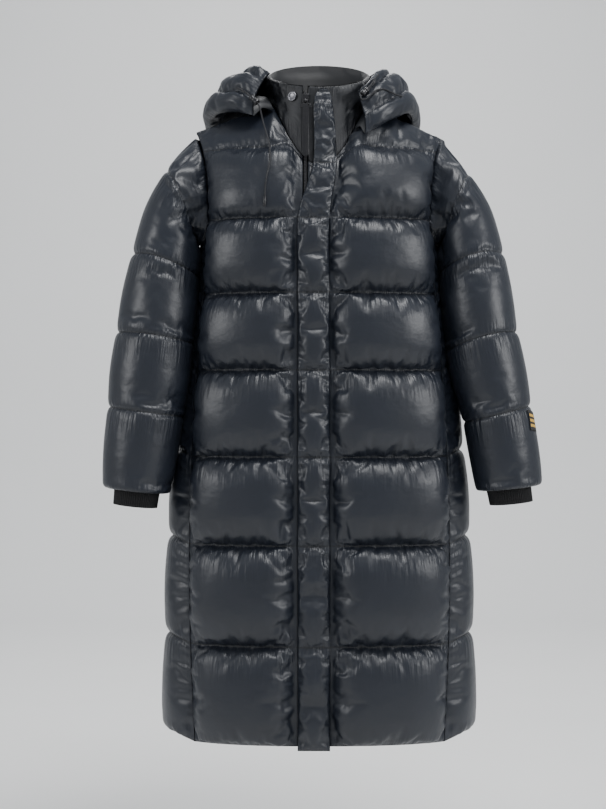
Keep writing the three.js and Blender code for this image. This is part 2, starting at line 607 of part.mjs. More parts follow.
add("collar", collarBand(), shell);

// Hood
// A point of the lowered hood. w runs from -1 at its right front end over 0 behind to 1 at its left
// front end, v runs along the cloth from the rim to the neck seam and counts its baffles.
function hoodPoint(w, v) {
  const side = Math.sign(w) || 1;
  const t = Math.abs(w) * (HOOD.length - 1);
  const get = (name) => column(HOOD, name, t);
  const turned = degToRad(get("angle")) * (side > 0 ? 1 : RIGHT_TURN);
  const spread = lerp(1, side > 0 ? LEFT_SPREAD : RIGHT_SPREAD, clamp(turned / 1.4, 0, 1));
  const base = neck(Math.PI - side * turned);
  const outwards = V(side * Math.sin(turned), Math.cos(turned), 0);
  const place = (out, up) => base.clone().addScaledVector(outwards, out).setZ(base.z + up);
  const control = [
    place(get("rimOut"), get("rimZ")),
    place(get("crownOut") * spread, get("crownZ")),
    place(get("farOut") * spread, get("farZ")),
    place(get("foldOut") * spread, get("foldZ")),
    place(get("underOut") * spread, get("underZ")),
    place(HOOD_SEAM.out, HOOD_SEAM.up),
  ];
  return V(column(control, "x", v), column(control, "y", v), column(control, "z", v));
}
// The side of the hood's cloth that shows: up at its crown, out at its fold and down below.
function hoodNormal(w, v) {
  const step = 0.01;
  const end = HOOD_PUFF.length;
  const across = hoodPoint(Math.min(w + step, 1), v).sub(hoodPoint(Math.max(w - step, -1), v));
  const down = hoodPoint(w, Math.min(v + step, end)).sub(hoodPoint(w, Math.max(v - step, 0)));
  return across.cross(down).normalize();
}
const HOOD_FOLD = 3; // the row at which the cloth turns under itself
const HOOD_HALF = 480; // the way round from the middle of the back to a front end, along the crown
const HOOD_REACH = 50; // the padding reaches its full height this far from a seam across the hood
const HOOD_PANEL_SEAM = 0.34; // the middle panel is sewn to the two side panels here
function hoodPanel(from, to, count) {
  const surface = (w, v) => hoodPoint(clamp(w, -1, 1), clamp(v, 0, HOOD_PUFF.length));
  const puff = (w, v) => {
    const k = Math.min(Math.floor(v), HOOD_PUFF.length - 1);
    const across = Math.min(w - from, to - w) * HOOD_HALF;
    return HOOD_PUFF[k] * full(v - k) * lift(across, HOOD_REACH);
  };
  const columns = Array.from({ length: count + 1 }, (_, i) => lerp(from, to, i / count));
  const rows = rowsOf(0, HOOD_PUFF.length, [0, 0.1, 0.5, 0.9]);
  // The lining has fewer rows at the fold, where it turns tightly.
  const plainRows = rows.filter((v) => v === HOOD_FOLD || Math.abs(v - HOOD_FOLD) > 0.15);
  return padded(surface, puff, null, rows, columns, plainRows, false, hoodNormal);
}
const HOOD_GAP = 0.001;
const HOOD_COLUMNS = 6;
const middleEnd = HOOD_PANEL_SEAM - HOOD_GAP;
const sideStart = HOOD_PANEL_SEAM + HOOD_GAP;
add("hood_middle", hoodPanel(-middleEnd, middleEnd, HOOD_COLUMNS), shell);
add("hood_left", hoodPanel(sideStart, 1, HOOD_COLUMNS), shell);
add("hood_right", hoodPanel(-1, -sideStart, HOOD_COLUMNS), shell);

// Storm flap and zip
const FLAP_SHUT = { mid: (FLAP.left + FLAP.right) / 2, half: FLAP_HALF, puff: FLAP_PUFF, off: FLAP_OFF };
const FLAP_ROWS = [...FLAP_TOP, ...BODY.map((row) => ({ z: row.z, ...FLAP_SHUT }))];
const FLAP_FLAT = FLAP_TOP.length; // from this row on it lies on the body's table

// The depth of the closed front at x and row w of the flap: the collar, then the chest, then the table.
function frontDepth(x, w) {
  if (w >= FLAP_FLAT) return depthAt(w - FLAP_FLAT, x, -1);
  const z = column(FLAP_ROWS, "z", w);
  const angle = Math.asin((2 * x) / (NECK.halfWidth + COLLAR.halfWidth));
  const low = neck(angle).z;
  const high = COLLAR.z - COLLAR.rise * Math.cos(angle);
  if (z > low) return collarPoint(angle, (z - low) / (high - low)).y;
  const side = x < ZIP_X ? -1 : 1;
  const inner = zipEdge(side);
  const share = Math.max(0, (x - inner) / (side * BODY[0].seam - inner));
  const u = (share / (side > 0 ? FOOT.left : FOOT.right)) * NECK_SHARE;
  const front = (v) => panelPoint(u, v, inner, side, -1);
  return front(search((v) => front(v).z, z, 2)).y;
}

function stormFlap() {
  const last = FLAP_ROWS.length - 1;
  const surface = (u, v) => {
    const w = clamp(v, 0, last);
    const x = column(FLAP_ROWS, "mid", w) + column(FLAP_ROWS, "half", w) * u;
    const longer = FLAP.longer * clamp(w - last + 1, 0, 1);
    return V(x, frontDepth(x, w) - column(FLAP_ROWS, "off", w), column(FLAP_ROWS, "z", w) - longer);
  };
  const puff = (u, v) => {
    const k = Math.min(Math.floor(v), last - 1);
    const half = column(FLAP_ROWS, "half", v);
    return FLAP_ROWS[k].puff * full(v - k) * lift((1 - Math.abs(u)) * half, half);
  };
  const forward = () => V(0, -1, 0);
  const rows = rowsOf(0, last, [0, 0.1, 0.5, 0.9]);
  const plainRows = rows.filter((v) => v < FLAP_FLAT + 1 || (2 * v) % 1 === 0);
  return padded(surface, puff, forward, rows, [-1, -0.8, -0.3, 0.3, 0.8, 1], plainRows, false, forward);
}
add("storm_flap", stormFlap(), shell);

// The closed zip: its chain stands in the gap between the fronts, its two tapes lie behind them.
function zip() {
  const last = FLAP_ROWS.length - 1;
  const z = (w) => Math.max(column(FLAP_ROWS, "z", w), BODY.at(-1).z + CHAIN.end);
  const open = rowsOf(1, FLAP_FLAT, [0, 0.5, 0.78, 0.94]);
  const rows = [0.15, ...open, ...rowsOf(FLAP_FLAT, last, PLAIN).slice(1)];
  const profile = [
    { x: -CHAIN.tapeHalf, y: CHAIN.tapeNear },
    { x: -CHAIN.halfWidth - 0.2, y: CHAIN.tapeNear },
    { x: -CHAIN.halfWidth, y: -CHAIN.front },
    { x: CHAIN.halfWidth, y: -CHAIN.front },
    { x: CHAIN.halfWidth + 0.2, y: CHAIN.tapeNear },
    { x: CHAIN.tapeHalf, y: CHAIN.tapeNear },
  ];
  const columns = profile.map((_, i) => i);
  const at = (u, v, y) => V(ZIP_X + profile[u].x, frontDepth(ZIP_X + profile[u].x, v) + y, z(v));
  // The collar stands further in than the fronts, and so does the tape sewn to it.
  const tapeBack = (v) => (v < FLAP_FLAT ? COLLAR.inset + 0.4 : 0);
  const outerY = (u, v) => (profile[u].y > 0 ? profile[u].y + tapeBack(v) : profile[u].y);
  const outer = { u: columns, v: rows, at: (u, v) => at(u, v, outerY(u, v)) };
  const inner = { u: columns, v: rows, at: (u, v) => at(u, v, CHAIN.tapeFar + tapeBack(v)) };
  return wall(outer, inner);
}
add("zip_chain", zip(), hardware);

// The slider sits on the chain; the bail stands on its face, and the pull hangs from the bail.
const sliderRow = search((w) => column(FLAP_ROWS, "z", w), SLIDER.z, FLAP_FLAT);
const sliderBack = frontDepth(ZIP_X, sliderRow) - SLIDER.off;
const sliderFace = sliderBack - SLIDER.thick;
const axis = V(ZIP_X, sliderFace - BAIL.behind, SLIDER.z - 2);
const plate = new THREE.Shape();
plate.moveTo(-SLIDER.width / 2, SLIDER.height / 2);
plate.lineTo(-SLIDER.width / 2 + 1, -SLIDER.height / 2);
plate.lineTo(SLIDER.width / 2 - 1, -SLIDER.height / 2);
plate.lineTo(SLIDER.width / 2, SLIDER.height / 2);
// Extrudes a shape drawn in x and z by a thickness towards the front, its back at y.
function pressed(shape, thick, x, y, z, tilt = 0, curveSegments = 8) {
  const geometry = new THREE.ExtrudeGeometry(shape, { depth: thick, bevelEnabled: false, curveSegments });
  geometry.rotateX(Math.PI / 2 - tilt);
  return geometry.translate(x, y, z);
}
add("zip_slider", pressed(plate, SLIDER.thick, ZIP_X, sliderBack, SLIDER.z), hardware);

const bail = new THREE.Shape();
const reach = BAIL.behind - SEAM_GAP; // the ends of the bail stop just off the slider's face
const inward = (r) => Math.acos(-reach / r); // the angle at which a circle meets the face
const wide = inward(BAIL.outer);
const narrow = Math.min(inward(BAIL.inner), 2.8);
bail.absarc(0, 0, BAIL.outer, Math.PI - wide, Math.PI + wide, false);
bail.absarc(0, 0, BAIL.inner, Math.PI + narrow, Math.PI - narrow, true);
const bailCut = { depth: BAIL.width, bevelEnabled: false, curveSegments: 12 };
const bailBody = new THREE.ExtrudeGeometry(bail, bailCut);
bailBody.applyMatrix4(new THREE.Matrix4().makeBasis(V(0, 1, 0), V(0, 0, 1), V(1, 0, 0)));
bailBody.translate(axis.x - BAIL.width / 2, axis.y, axis.z);
add("zip_bail", bailBody, hardware);

// The pull: an eye round the bail, a bar and a long strip, pressed from one plate.
const pull = new THREE.Shape();
const eyeHalf = PULLER.holeWidth / 2 + 1.6;
const barTop = -PULLER.bar - PULLER.hole - 1;
const holeLow = barTop + 1;
const barLow = barTop - PULLER.barHeight;
pull.moveTo(-eyeHalf, PULLER.bar);
for (const [x, y] of [
  [-eyeHalf, barTop],
  [-PULLER.barWidth / 2, barTop],
  [-PULLER.barWidth / 2, barLow],
  [-PULLER.width / 2, barLow],
  [-PULLER.width / 2, barLow - PULLER.length + 3],
  [-PULLER.width / 2 + 3, barLow - PULLER.length],
  [PULLER.width / 2 - 3, barLow - PULLER.length],
  [PULLER.width / 2, barLow - PULLER.length + 3],
  [PULLER.width / 2, barLow],
  [PULLER.barWidth / 2, barLow],
  [PULLER.barWidth / 2, barTop],
  [eyeHalf, barTop],
  [eyeHalf, PULLER.bar],
]) pull.lineTo(x, y);
const hole = new THREE.Path();
hole.moveTo(-PULLER.holeWidth / 2, -PULLER.bar);
hole.lineTo(PULLER.holeWidth / 2, -PULLER.bar);
hole.lineTo(PULLER.holeWidth / 2, holeLow);
hole.lineTo(-PULLER.holeWidth / 2, holeLow);
pull.holes.push(hole);
const pullBody = new THREE.ExtrudeGeometry(pull, { depth: 2 * PULLER.bar, bevelEnabled: false });
pullBody.translate(0, 0, -PULLER.bar);
pullBody.rotateX(Math.PI / 2 - degToRad(PULL_TILT));
pullBody.translate(axis.x, axis.y, axis.z);
add("zip_pull", pullBody, hardware);

// The snap that holds the open top of the storm flap, on the wearer's right of the collar.
const snapAngle = Math.asin((2 * SNAP.x) / (NECK.halfWidth + COLLAR.halfWidth));
const snapShare = search((v) => -collarPoint(snapAngle, v).z, -SNAP.z, 1);
const snapAt = collarPoint(snapAngle, snapShare);
const snapProfile = [
  [0, 0],
  [SNAP.r, 0],
  [SNAP.r, SNAP.thick * 0.7],
  [SNAP.r - 1, SNAP.thick],
  [SNAP.r - SNAP.rim - 1, SNAP.thick],
  [SNAP.r - SNAP.rim - 1.5, SNAP.thick * 0.5],
  [0, SNAP.thick * 0.5],
].map(([x, y]) => new THREE.Vector2(x, y));
const snapBody = new THREE.LatheGeometry(snapProfile, 20);
snapBody.rotateX(Math.PI).translate(0, -WALL / 2 - 2 * SEAM_GAP, 0).rotateX(-0.1).rotateZ(snapAngle);
snapBody.translate(snapAt.x, snapAt.y, snapAt.z);
add("snap_socket", snapBody, hardware);

// Drawcords of the hood
// Each cord comes out of the hood's edge, runs through its lock and ends free.
const CORD = { r: 1.4, sides: 8, step: 6.5 };
const LOCK = { r: 5, clear: 0.6, waist: 0.8 };
const TIP = { r: 2.3, length: 17 };
const RIGHT_CORD = [
  [-141, -61.1, 15.8], [-136, -66, 14], [-129, -71, 9], [-122.5, -75.5, 3.5], [-117, -79, -2],
  [-111, -83, -8], [-105, -87, -14], [-101, -87, -24], [-98, -84, -36], [-95, -83.5, -48],
  [-91, -86.5, -62], [-87, -93, -75], [-84.5, -102, -86], [-83.5, -114, -100], [-83.5, -122.5, -118],
  [-86, -129, -133], [-89, -134.5, -147], [-91, -135, -164], [-91.5, -134.5, -178],
].map((p) => V(...p));
const LEFT_CORD = [
  [101.2, -58.6, 39.3], [96, -68, 32], [91, -80.5, 23], [86.5, -86.3, 15.5], [81.7, -89.7, 9.3],
  [77, -92.3, 4], [72.3, -95.1, -1.3], [69.5, -96.6, -6], [72, -98.4, -10], [79, -97.8, -9],
  [87, -95.5, -2], [96, -93.6, 6], [108, -86, 10], [121, -76.3, 7], [131, -67, 4], [141, -60.6, 2],
  [149, -53, -1], [154.3, -49, -4.3],
].map((p) => V(...p));

function cordBody(route) {
  const path = new THREE.CatmullRomCurve3(route);
  const round = new THREE.Shape();
  for (let i = 0; i < CORD.sides; i++) {
    const angle = (2 * Math.PI * i) / CORD.sides;
    if (i === 0) round.moveTo(CORD.r, 0);
    else round.lineTo(CORD.r * Math.cos(angle), CORD.r * Math.sin(angle));
  }
  const steps = Math.round(path.getLength() / CORD.step);
  return new THREE.ExtrudeGeometry(round, { steps, bevelEnabled: false, extrudePath: path });
}

// A turned piece given by radius and height, laid from one point towards another.
function turned(profile, from, to, sides) {
  const body = new THREE.LatheGeometry(profile.map(([r, h]) => new THREE.Vector2(r, h)), sides);
  const way = to.clone().sub(from).normalize();
  body.applyQuaternion(new THREE.Quaternion().setFromUnitVectors(V(0, 1, 0), way));
  return body.translate(from.x, from.y, from.z);
}

// A barrel lock round the cord, between two points of its route.
function lockBody(from, to) {
  const bore = CORD.r + LOCK.clear;
  const long = from.distanceTo(to);
  const waist = LOCK.r - LOCK.waist;
  const profile = [
    [bore, 0],
    [LOCK.r - 0.7, 0],
    [LOCK.r, 0.9],
    [LOCK.r, long * 0.3],
    [waist, long * 0.36],
    [waist, long * 0.64],
    [LOCK.r, long * 0.7],
    [LOCK.r, long - 0.9],
    [LOCK.r - 0.7, long],
    [bore, long],
    [bore, 0],
  ];
  return turned(profile, from, to, 16);
}

// The tip closes the end of the cord; it starts just past it.
function tipBody(route) {
  const end = route.at(-1);
  const way = end.clone().sub(route.at(-2)).normalize();
  const from = end.clone().addScaledVector(way, SEAM_GAP);
  const profile = [
    [0, 0], [TIP.r, 0], [TIP.r, TIP.length - 1], [TIP.r - 1, TIP.length], [0, TIP.length],
  ];
  return turned(profile, from, from.clone().add(way), 12);
}
add("cord_right", cordBody(RIGHT_CORD), knit);
add("cord_left", cordBody(LEFT_CORD), knit);
add("cord_lock_right", lockBody(RIGHT_CORD[4], RIGHT_CORD[6]), hardware);
add("cord_lock_left", lockBody(LEFT_CORD[4], LEFT_CORD[6]), hardware);
add("cord_tip_right", tipBody(RIGHT_CORD), hardware);

export default coat;
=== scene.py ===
import math

import bmesh
import bpy
import numpy as np
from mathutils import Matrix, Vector
from mathutils.bvhtree import BVHTree


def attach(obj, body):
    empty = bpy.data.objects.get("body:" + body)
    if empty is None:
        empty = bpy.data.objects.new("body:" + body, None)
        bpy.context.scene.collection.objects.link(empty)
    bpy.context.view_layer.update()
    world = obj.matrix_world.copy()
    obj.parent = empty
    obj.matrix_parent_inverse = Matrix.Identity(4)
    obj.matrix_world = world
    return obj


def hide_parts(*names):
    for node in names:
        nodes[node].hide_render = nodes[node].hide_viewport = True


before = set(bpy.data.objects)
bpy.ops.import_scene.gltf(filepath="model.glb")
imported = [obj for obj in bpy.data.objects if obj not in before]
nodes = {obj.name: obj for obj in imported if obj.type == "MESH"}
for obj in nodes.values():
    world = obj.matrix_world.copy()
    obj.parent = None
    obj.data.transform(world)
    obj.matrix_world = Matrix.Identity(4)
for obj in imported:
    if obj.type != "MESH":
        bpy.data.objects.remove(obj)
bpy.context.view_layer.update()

# Camera
# It stands level in front of the coat, as in the photograph, and shows it at the photograph's size.
CAMERA_AWAY = 2.9
CAMERA_SIDE = -0.028
CAMERA_HEIGHT = -0.526
FRAME_HEIGHT = 1.416  # what the frame shows in the plane of the shoulders

lens = bpy.data.cameras.new("camera")
lens.sensor_fit = "VERTICAL"
lens.sensor_height = 36
lens.lens = lens.sensor_height * CAMERA_AWAY / FRAME_HEIGHT
camera = bpy.data.objects.new("camera", lens)
camera.location = (CAMERA_SIDE, -CAMERA_AWAY, CAMERA_HEIGHT)
camera.rotation_euler = (math.pi / 2, 0, 0)
bpy.context.collection.objects.link(camera)
bpy.context.scene.camera = camera


# Locks and tip of the hood's drawcords
# The locks are small turned barrels of dark enamelled metal that pinch the cords. The tip is a tube of
# the same metal, crimped on the end of the right cord.
SHARP = math.radians(40)  # an edge that turns more than this stays sharp or is broken
LOOSE = 1e-6  # corners of the CAD triangles closer than this are one point
PATCHES = 260.0  # per metre, as all these counts are
SCRATCHES = (300, 300, 2600)
WEAR = 2.4


def shader(name, colors, rough, height, metallic=0.0, bump=0.3, depth=0.001, coat=0.0):
    """A material whose color, roughness and relief come from a node group."""
    material = bpy.data.materials.new(name)
    material.use_nodes = True
    tree = material.node_tree
    principled = tree.nodes["Principled BSDF"]
    principled.inputs["Metallic"].default_value = metallic
    principled.inputs["Coat Weight"].default_value = coat
    group = tree.nodes.new("ShaderNodeGroup")
    group.node_tree = height
    group.inputs["Light"].default_value = (*colors[0], 1)
    group.inputs["Dark"].default_value = (*colors[1], 1)
    group.inputs["Smooth"].default_value = rough[0]
    group.inputs["Rough"].default_value = rough[1]
    relief = tree.nodes.new("ShaderNodeBump")
    relief.inputs["Strength"].default_value = bump
    relief.inputs["Distance"].default_value = depth
    tree.links.new(group.outputs["Color"], principled.inputs["Base Color"])
    tree.links.new(group.outputs["Roughness"], principled.inputs["Roughness"])
    tree.links.new(group.outputs["Height"], relief.inputs["Height"])
    tree.links.new(relief.outputs["Normal"], principled.inputs["Normal"])
    return material


class Effect:
    """A node group with the same sockets for every surface, filled in step by step."""

    def __init__(self, name):
        self.tree = bpy.data.node_groups.new(name, "ShaderNodeTree")
        sockets = self.tree.interface
        for label in ("Light", "Dark"):
            sockets.new_socket(label, in_out="INPUT", socket_type="NodeSocketColor")
        for label in ("Smooth", "Rough"):
            sockets.new_socket(label, in_out="INPUT", socket_type="NodeSocketFloat")
        sockets.new_socket("Color", in_out="OUTPUT", socket_type="NodeSocketColor")
        sockets.new_socket("Roughness", in_out="OUTPUT", socket_type="NodeSocketFloat")
        sockets.new_socket("Height", in_out="OUTPUT", socket_type="NodeSocketFloat")
        self.given = self.tree.nodes.new("NodeGroupInput")
        self.result = self.tree.nodes.new("NodeGroupOutput")

    def node(self, kind, output=0, **inputs):
        made = self.tree.nodes.new(kind)
        for key, value in inputs.items():
            if key in ("operation", "uv_map", "wave_type", "bands_direction", "data_type", "feature"):
                setattr(made, key, value)
                continue
            target = made.inputs[int(key[1:])] if key[0] == "i" and key[1:].isdigit() else made.inputs[key]
            if isinstance(value, bpy.types.NodeSocket):
                self.tree.links.new(value, target)
            else:
                target.default_value = value
        return made.outputs[output]

    def math(self, operation, a, b=0.0, c=0.0):
        return self.node("ShaderNodeMath", operation=operation, i0=a, i1=b, i2=c)

    def place(self, x=1.0, y=1.0, z=1.0):
        """Object coordinates, stretched."""
        made = self.tree.nodes.new("ShaderNodeTexCoord")
        spot = made.outputs["Object"]
        return self.node("ShaderNodeVectorMath", operation="MULTIPLY", i0=spot, i1=(x, y, z))

    def map(self, x=1.0, y=1.0):
        """The cloth's own map, metres across and seams downwards, stretched."""
        made = self.node("ShaderNodeUVMap", uv_map="cloth")
        return self.node("ShaderNodeVectorMath", operation="MULTIPLY", i0=made, i1=(x, y, 1))

    def noise(self, where, scale, detail=2.0):
        return self.node("ShaderNodeTexNoise", Vector=where, Scale=scale, Detail=detail)

    def close(self, shade, height):
        """Shade runs from the light color and smooth to the dark color and rough."""
        made = self.tree.nodes.new("ShaderNodeMix")
        made.data_type = "RGBA"
        self.tree.links.new(shade, made.inputs["Factor"])
        self.tree.links.new(self.given.outputs["Light"], made.inputs["A"])
        self.tree.links.new(self.given.outputs["Dark"], made.inputs["B"])
        self.tree.links.new(made.outputs[2], self.result.inputs["Color"])
        span = self.math("SUBTRACT", self.given.outputs["Rough"], self.given.outputs["Smooth"])
        rough = self.math("MULTIPLY_ADD", span, shade, self.given.outputs["Smooth"])
        self.tree.links.new(rough, self.result.inputs["Roughness"])
        self.tree.links.new(height, self.result.inputs["Height"])
        return self.tree


def worn_metal():
    effect = Effect("worn metal")
    patches = effect.noise(effect.place(), PATCHES, 4.0)
    scratches = effect.noise(effect.place(*SCRATCHES), 1.0)
    both = effect.math("MULTIPLY", patches, scratches)
    return effect.close(effect.math("MULTIPLY", both, WEAR), scratches)


METAL = worn_metal()
ENAMEL = shader("dark_enamel", ((0.034, 0.034, 0.038), (0.012, 0.012, 0.013)), (0.24, 0.42), METAL,
                metallic=0.55, bump=0.12, depth=0.0002, coat=0.25)
STEEL = shader("brushed_steel", ((0.26, 0.26, 0.28), (0.12, 0.12, 0.13)), (0.28, 0.46), METAL,
               metallic=1.0, bump=0.15, depth=0.0002)


def fitting(name, material, body="coat", bevel=0.0003, segments=2):
    """A hard piece as its CAD solid, with its edges broken."""
    mesh = nodes[name].data.copy()
    bm = bmesh.new()
    bm.from_mesh(mesh)
    bmesh.ops.remove_doubles(bm, verts=bm.verts, dist=LOOSE)
    bm.to_mesh(mesh)
    bm.free()
    mesh.materials.clear()
    mesh.materials.append(material)
    mesh.shade_smooth()
    mesh.set_sharp_from_angle(angle=SHARP)
    piece = bpy.data.objects.new(name + "_shown", mesh)
    bpy.context.collection.objects.link(piece)
    if bevel:
        edge = piece.modifiers.new("edges", "BEVEL")
        edge.width = bevel
        edge.segments = segments
        edge.limit_method = "ANGLE"
        edge.angle_limit = SHARP
    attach(piece, body)
    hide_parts(name)
    return piece


lock_right = fitting("cord_lock_right", ENAMEL)
lock_left = fitting("cord_lock_left", ENAMEL)
tip_right = fitting("cord_tip_right", ENAMEL)


# Drawcords of the hood
# Braided round cord. The right one leaves the front end of the hood, runs through its lock and hangs free
# in front of the chest; the left one makes a loop through its lock and goes back into the hood.
CORD_ACROSS = 0.0028
BRAID_STEP = 0.0022  # how close the points of the drawn line stand
STRANDS = 420.0  # per metre
STRAND_SLANT = 0.6
RIGHT_CORD = (
    (-141, -61.1, 15.8), (-136, -66, 14), (-129, -71, 9), (-122.5, -75.5, 3.5), (-117, -79, -2),
    (-111, -83, -8), (-105, -87, -14), (-101, -87, -24), (-98, -84, -36), (-95, -83.5, -48),
    (-91, -86.5, -62), (-87, -93, -75), (-84.5, -102, -86), (-83.5, -114, -100), (-83.5, -122.5, -118),
    (-86, -129, -133), (-89, -134.5, -147), (-91, -135, -164), (-91.5, -134.5, -178),
)
LEFT_CORD = (
    (101.2, -58.6, 39.3), (96, -68, 32), (91, -80.5, 23), (86.5, -86.3, 15.5), (81.7, -89.7, 9.3),
    (77, -92.3, 4), (72.3, -95.1, -1.3), (69.5, -96.6, -6), (72, -98.4, -10), (79, -97.8, -9),
    (87, -95.5, -2), (96, -93.6, 6), (108, -86, 10), (121, -76.3, 7), (131, -67, 4), (141, -60.6, 2),
    (149, -53, -1), (154.3, -49, -4.3),
)


def between(points, at, want):
    """Points on smooth curves through rows of points that lie at the given lengths."""
    slope = np.gradient(points, at, axis=0) if len(at) > 2 else np.repeat(
        ((points[1] - points[0]) / (at[1] - at[0]))[None], 2, axis=0)
    i = np.clip(np.searchsorted(at, want, side="right") - 1, 0, len(at) - 2)
    h = (at[i + 1] - at[i]).reshape(-1, *[1] * (points.ndim - 1))
    t = ((want - at[i]) / (at[i + 1] - at[i])).reshape(h.shape)
    a, b = points[i], points[i + 1]
    return (a * (1 + 2 * t) * (1 - t) ** 2 + slope[i] * h * t * (1 - t) ** 2
            + b * t * t * (3 - 2 * t) - slope[i + 1] * h * t * t * (1 - t))


def lengths(points):
    steps = np.linalg.norm(np.diff(points, axis=0), axis=-1)
    if steps.ndim > 1:
        steps = steps.mean(axis=1)
    return np.concatenate([[0], np.cumsum(steps)])


def braid():
    effect = Effect("braid")
    one, two = [effect.node("ShaderNodeTexWave", 1, Vector=effect.place(way, STRAND_SLANT, 1), Scale=STRANDS,
                            Distortion=0.0) for way in (1, -1)]
    weave = effect.math("MULTIPLY", one, two)
    return effect.close(effect.math("SUBTRACT", 1.0, weave), weave)


BRAIDED = shader("braided_cord", ((0.022, 0.023, 0.027), (0.008, 0.008, 0.010)), (0.55, 0.8), braid(),
                 bump=0.5, depth=0.0004)


def drawcord(name, route):
    line = bpy.data.curves.new(name, "CURVE")
    line.dimensions = "3D"
    corners = np.array(route) / 1000
    at = lengths(corners)
    steps = round(at[-1] / BRAID_STEP)
    points = between(corners, at, np.linspace(0, at[-1], steps + 1))
    spline = line.splines.new("POLY")
    spline.points.add(len(points) - 1)
    for point, p in zip(spline.points, points):
        point.co = (*p, 1)
    line.bevel_depth = CORD_ACROSS / 2
    line.bevel_resolution = 3
    line.use_fill_caps = True
    line.materials.append(BRAIDED)
    piece = bpy.data.objects.new(name, line)
    bpy.context.collection.objects.link(piece)
    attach(piece, "coat")
    return piece, tuple(points[0]), lengths(points)[-1]


hood_cord_right, start_point, cord_length = drawcord("hood_cord_right", RIGHT_CORD)
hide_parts("cord_right")
hood_cord_left, start_point, cord_length = drawcord("hood_cord_left", LEFT_CORD)
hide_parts("cord_left")


# Floor and light
# The floor lies under the hem and rises into a wall far behind. One large soft light hangs above and a
# little to the side, with weaker ones round the coat and one for the wall.
FLOOR_Z = -1.36
FLOOR_SIZE = 6.0
WALL_FROM = 3.4  # where the floor starts to rise, farther than the camera stands
WALL_BEND = 0.8
WALL_STEPS = 90
PALE = (0.92, 0.92, 0.91)
GREYER = 0.97
PAINT_PATCHES = 3.0  # per metre
PAINT_GRAIN = 240.0
SKY = (0.9, 0.94, 1.0, 1)
SKY_STRENGTH = 0.5
MIDDLE = (0, 0, -0.55)
LIGHTS = {  # where it hangs, where it points, how wide it is and its power
    "light_above": ((0.5, -1.0, 1.9), (0, 0, -0.4), 1.2, 60),
    "light_right": ((2.4, -1.2, 0.3), MIDDLE, 1.0, 34),
    "light_left": ((-2.4, -1.2, 0.3), MIDDLE, 1.0, 26),
    "light_back": ((0, 2.2, 1.6), MIDDLE, 1.6, 30),
    "light_wall": ((0, 2.4, 2.6), (0, 5.2, 0.2), 2.0, 60),
}


def plain_paint():
    effect = Effect("paint")
    soft = effect.noise(effect.place(), PAINT_PATCHES)
    return effect.close(soft, effect.noise(effect.place(), PAINT_GRAIN))


bm = bmesh.new()
bmesh.ops.create_grid(bm, x_segments=2, y_segments=WALL_STEPS, size=FLOOR_SIZE)
for v in bm.verts:
    beyond = max(0.0, v.co.y - WALL_FROM)
    v.co.z = FLOOR_Z + WALL_BEND * beyond ** 2
mesh = bpy.data.meshes.new("floor")
bm.to_mesh(mesh)
bm.free()
mesh.shade_smooth()
mesh.materials.append(shader("pale_paint", (PALE, tuple(GREYER * c for c in PALE)), (0.8, 0.9),
                             plain_paint(), bump=0.02))
floor = bpy.data.objects.new("floor", mesh)
bpy.context.collection.objects.link(floor)

world = bpy.data.worlds.new("studio")
world.use_nodes = True
world.node_tree.nodes["Background"].inputs["Color"].default_value = SKY
world.node_tree.nodes["Background"].inputs["Strength"].default_value = SKY_STRENGTH
bpy.context.scene.world = world


def soft_light(name, where, at, size, power):
    lamp = bpy.data.lights.new(name, "AREA")
    lamp.shape = "DISK"
    lamp.size = size
    lamp.energy = power
    thing = bpy.data.objects.new(name, lamp)
    thing.location = where
    thing.rotation_euler = (Vector(at) - Vector(where)).to_track_quat("-Z", "Y").to_euler()
    bpy.context.collection.objects.link(thing)


for name, (where, at, size, power) in LIGHTS.items():
    soft_light(name, where, at, size, power)


# Front, back and side panels
# Each is a quilted panel of thin nylon over a plain lining with down between, sewn along level seams.
# The outer cloth is cut longer than the lining, so it swells between the seams and gathers along them.
SPACING = 0.0052  # between the points of the cloth
WALL = 0.003  # how thick a CAD wall is at its cut edge
HELD_BELOW = 0.0034  # where a wall is thinner than this, its two cloths are sewn together
START_IN = 0.25  # the share of the padding that the cloth starts below its CAD solid
SPARE = 0.10  # how much larger the outer cloth is cut
PRESSURE = 8.0
STIFF = 5.0
MOST_MOVE = 0.014  # about how far the cloth may swell
CALM_MOVE = 0.002  # the same where a cord lies on it
CALM_BLEND = 0.2  # of a baffle
FRAMES = 20
SAME_EDGE = 1e-6
SAME_PLACE = 2e-6
CORE_WIDTH = 0.6
CORE_TOP = -0.16
GATHERS = (150, 2.4)  # per metre across, and per baffle down
CREASES = (26, 4.5)
TONES = (7, 2)
TONE_SHARE = 0.7
THREADS = 2600.0  # per metre
GATHERS_END = 4.0  # gathers die out at one baffle divided by this from a seam
GATHERS_BELOW_END = 2.4
CREASE_DEPTH = 0.42
THREAD_DEPTH = 0.012
SEAM_HALF = 0.011  # of a baffle
STITCH = 0.0035
STITCH_DEPTH = (0.03, 0.05)
LINING_CREASES = 60.0
LINING_THREADS = 900.0


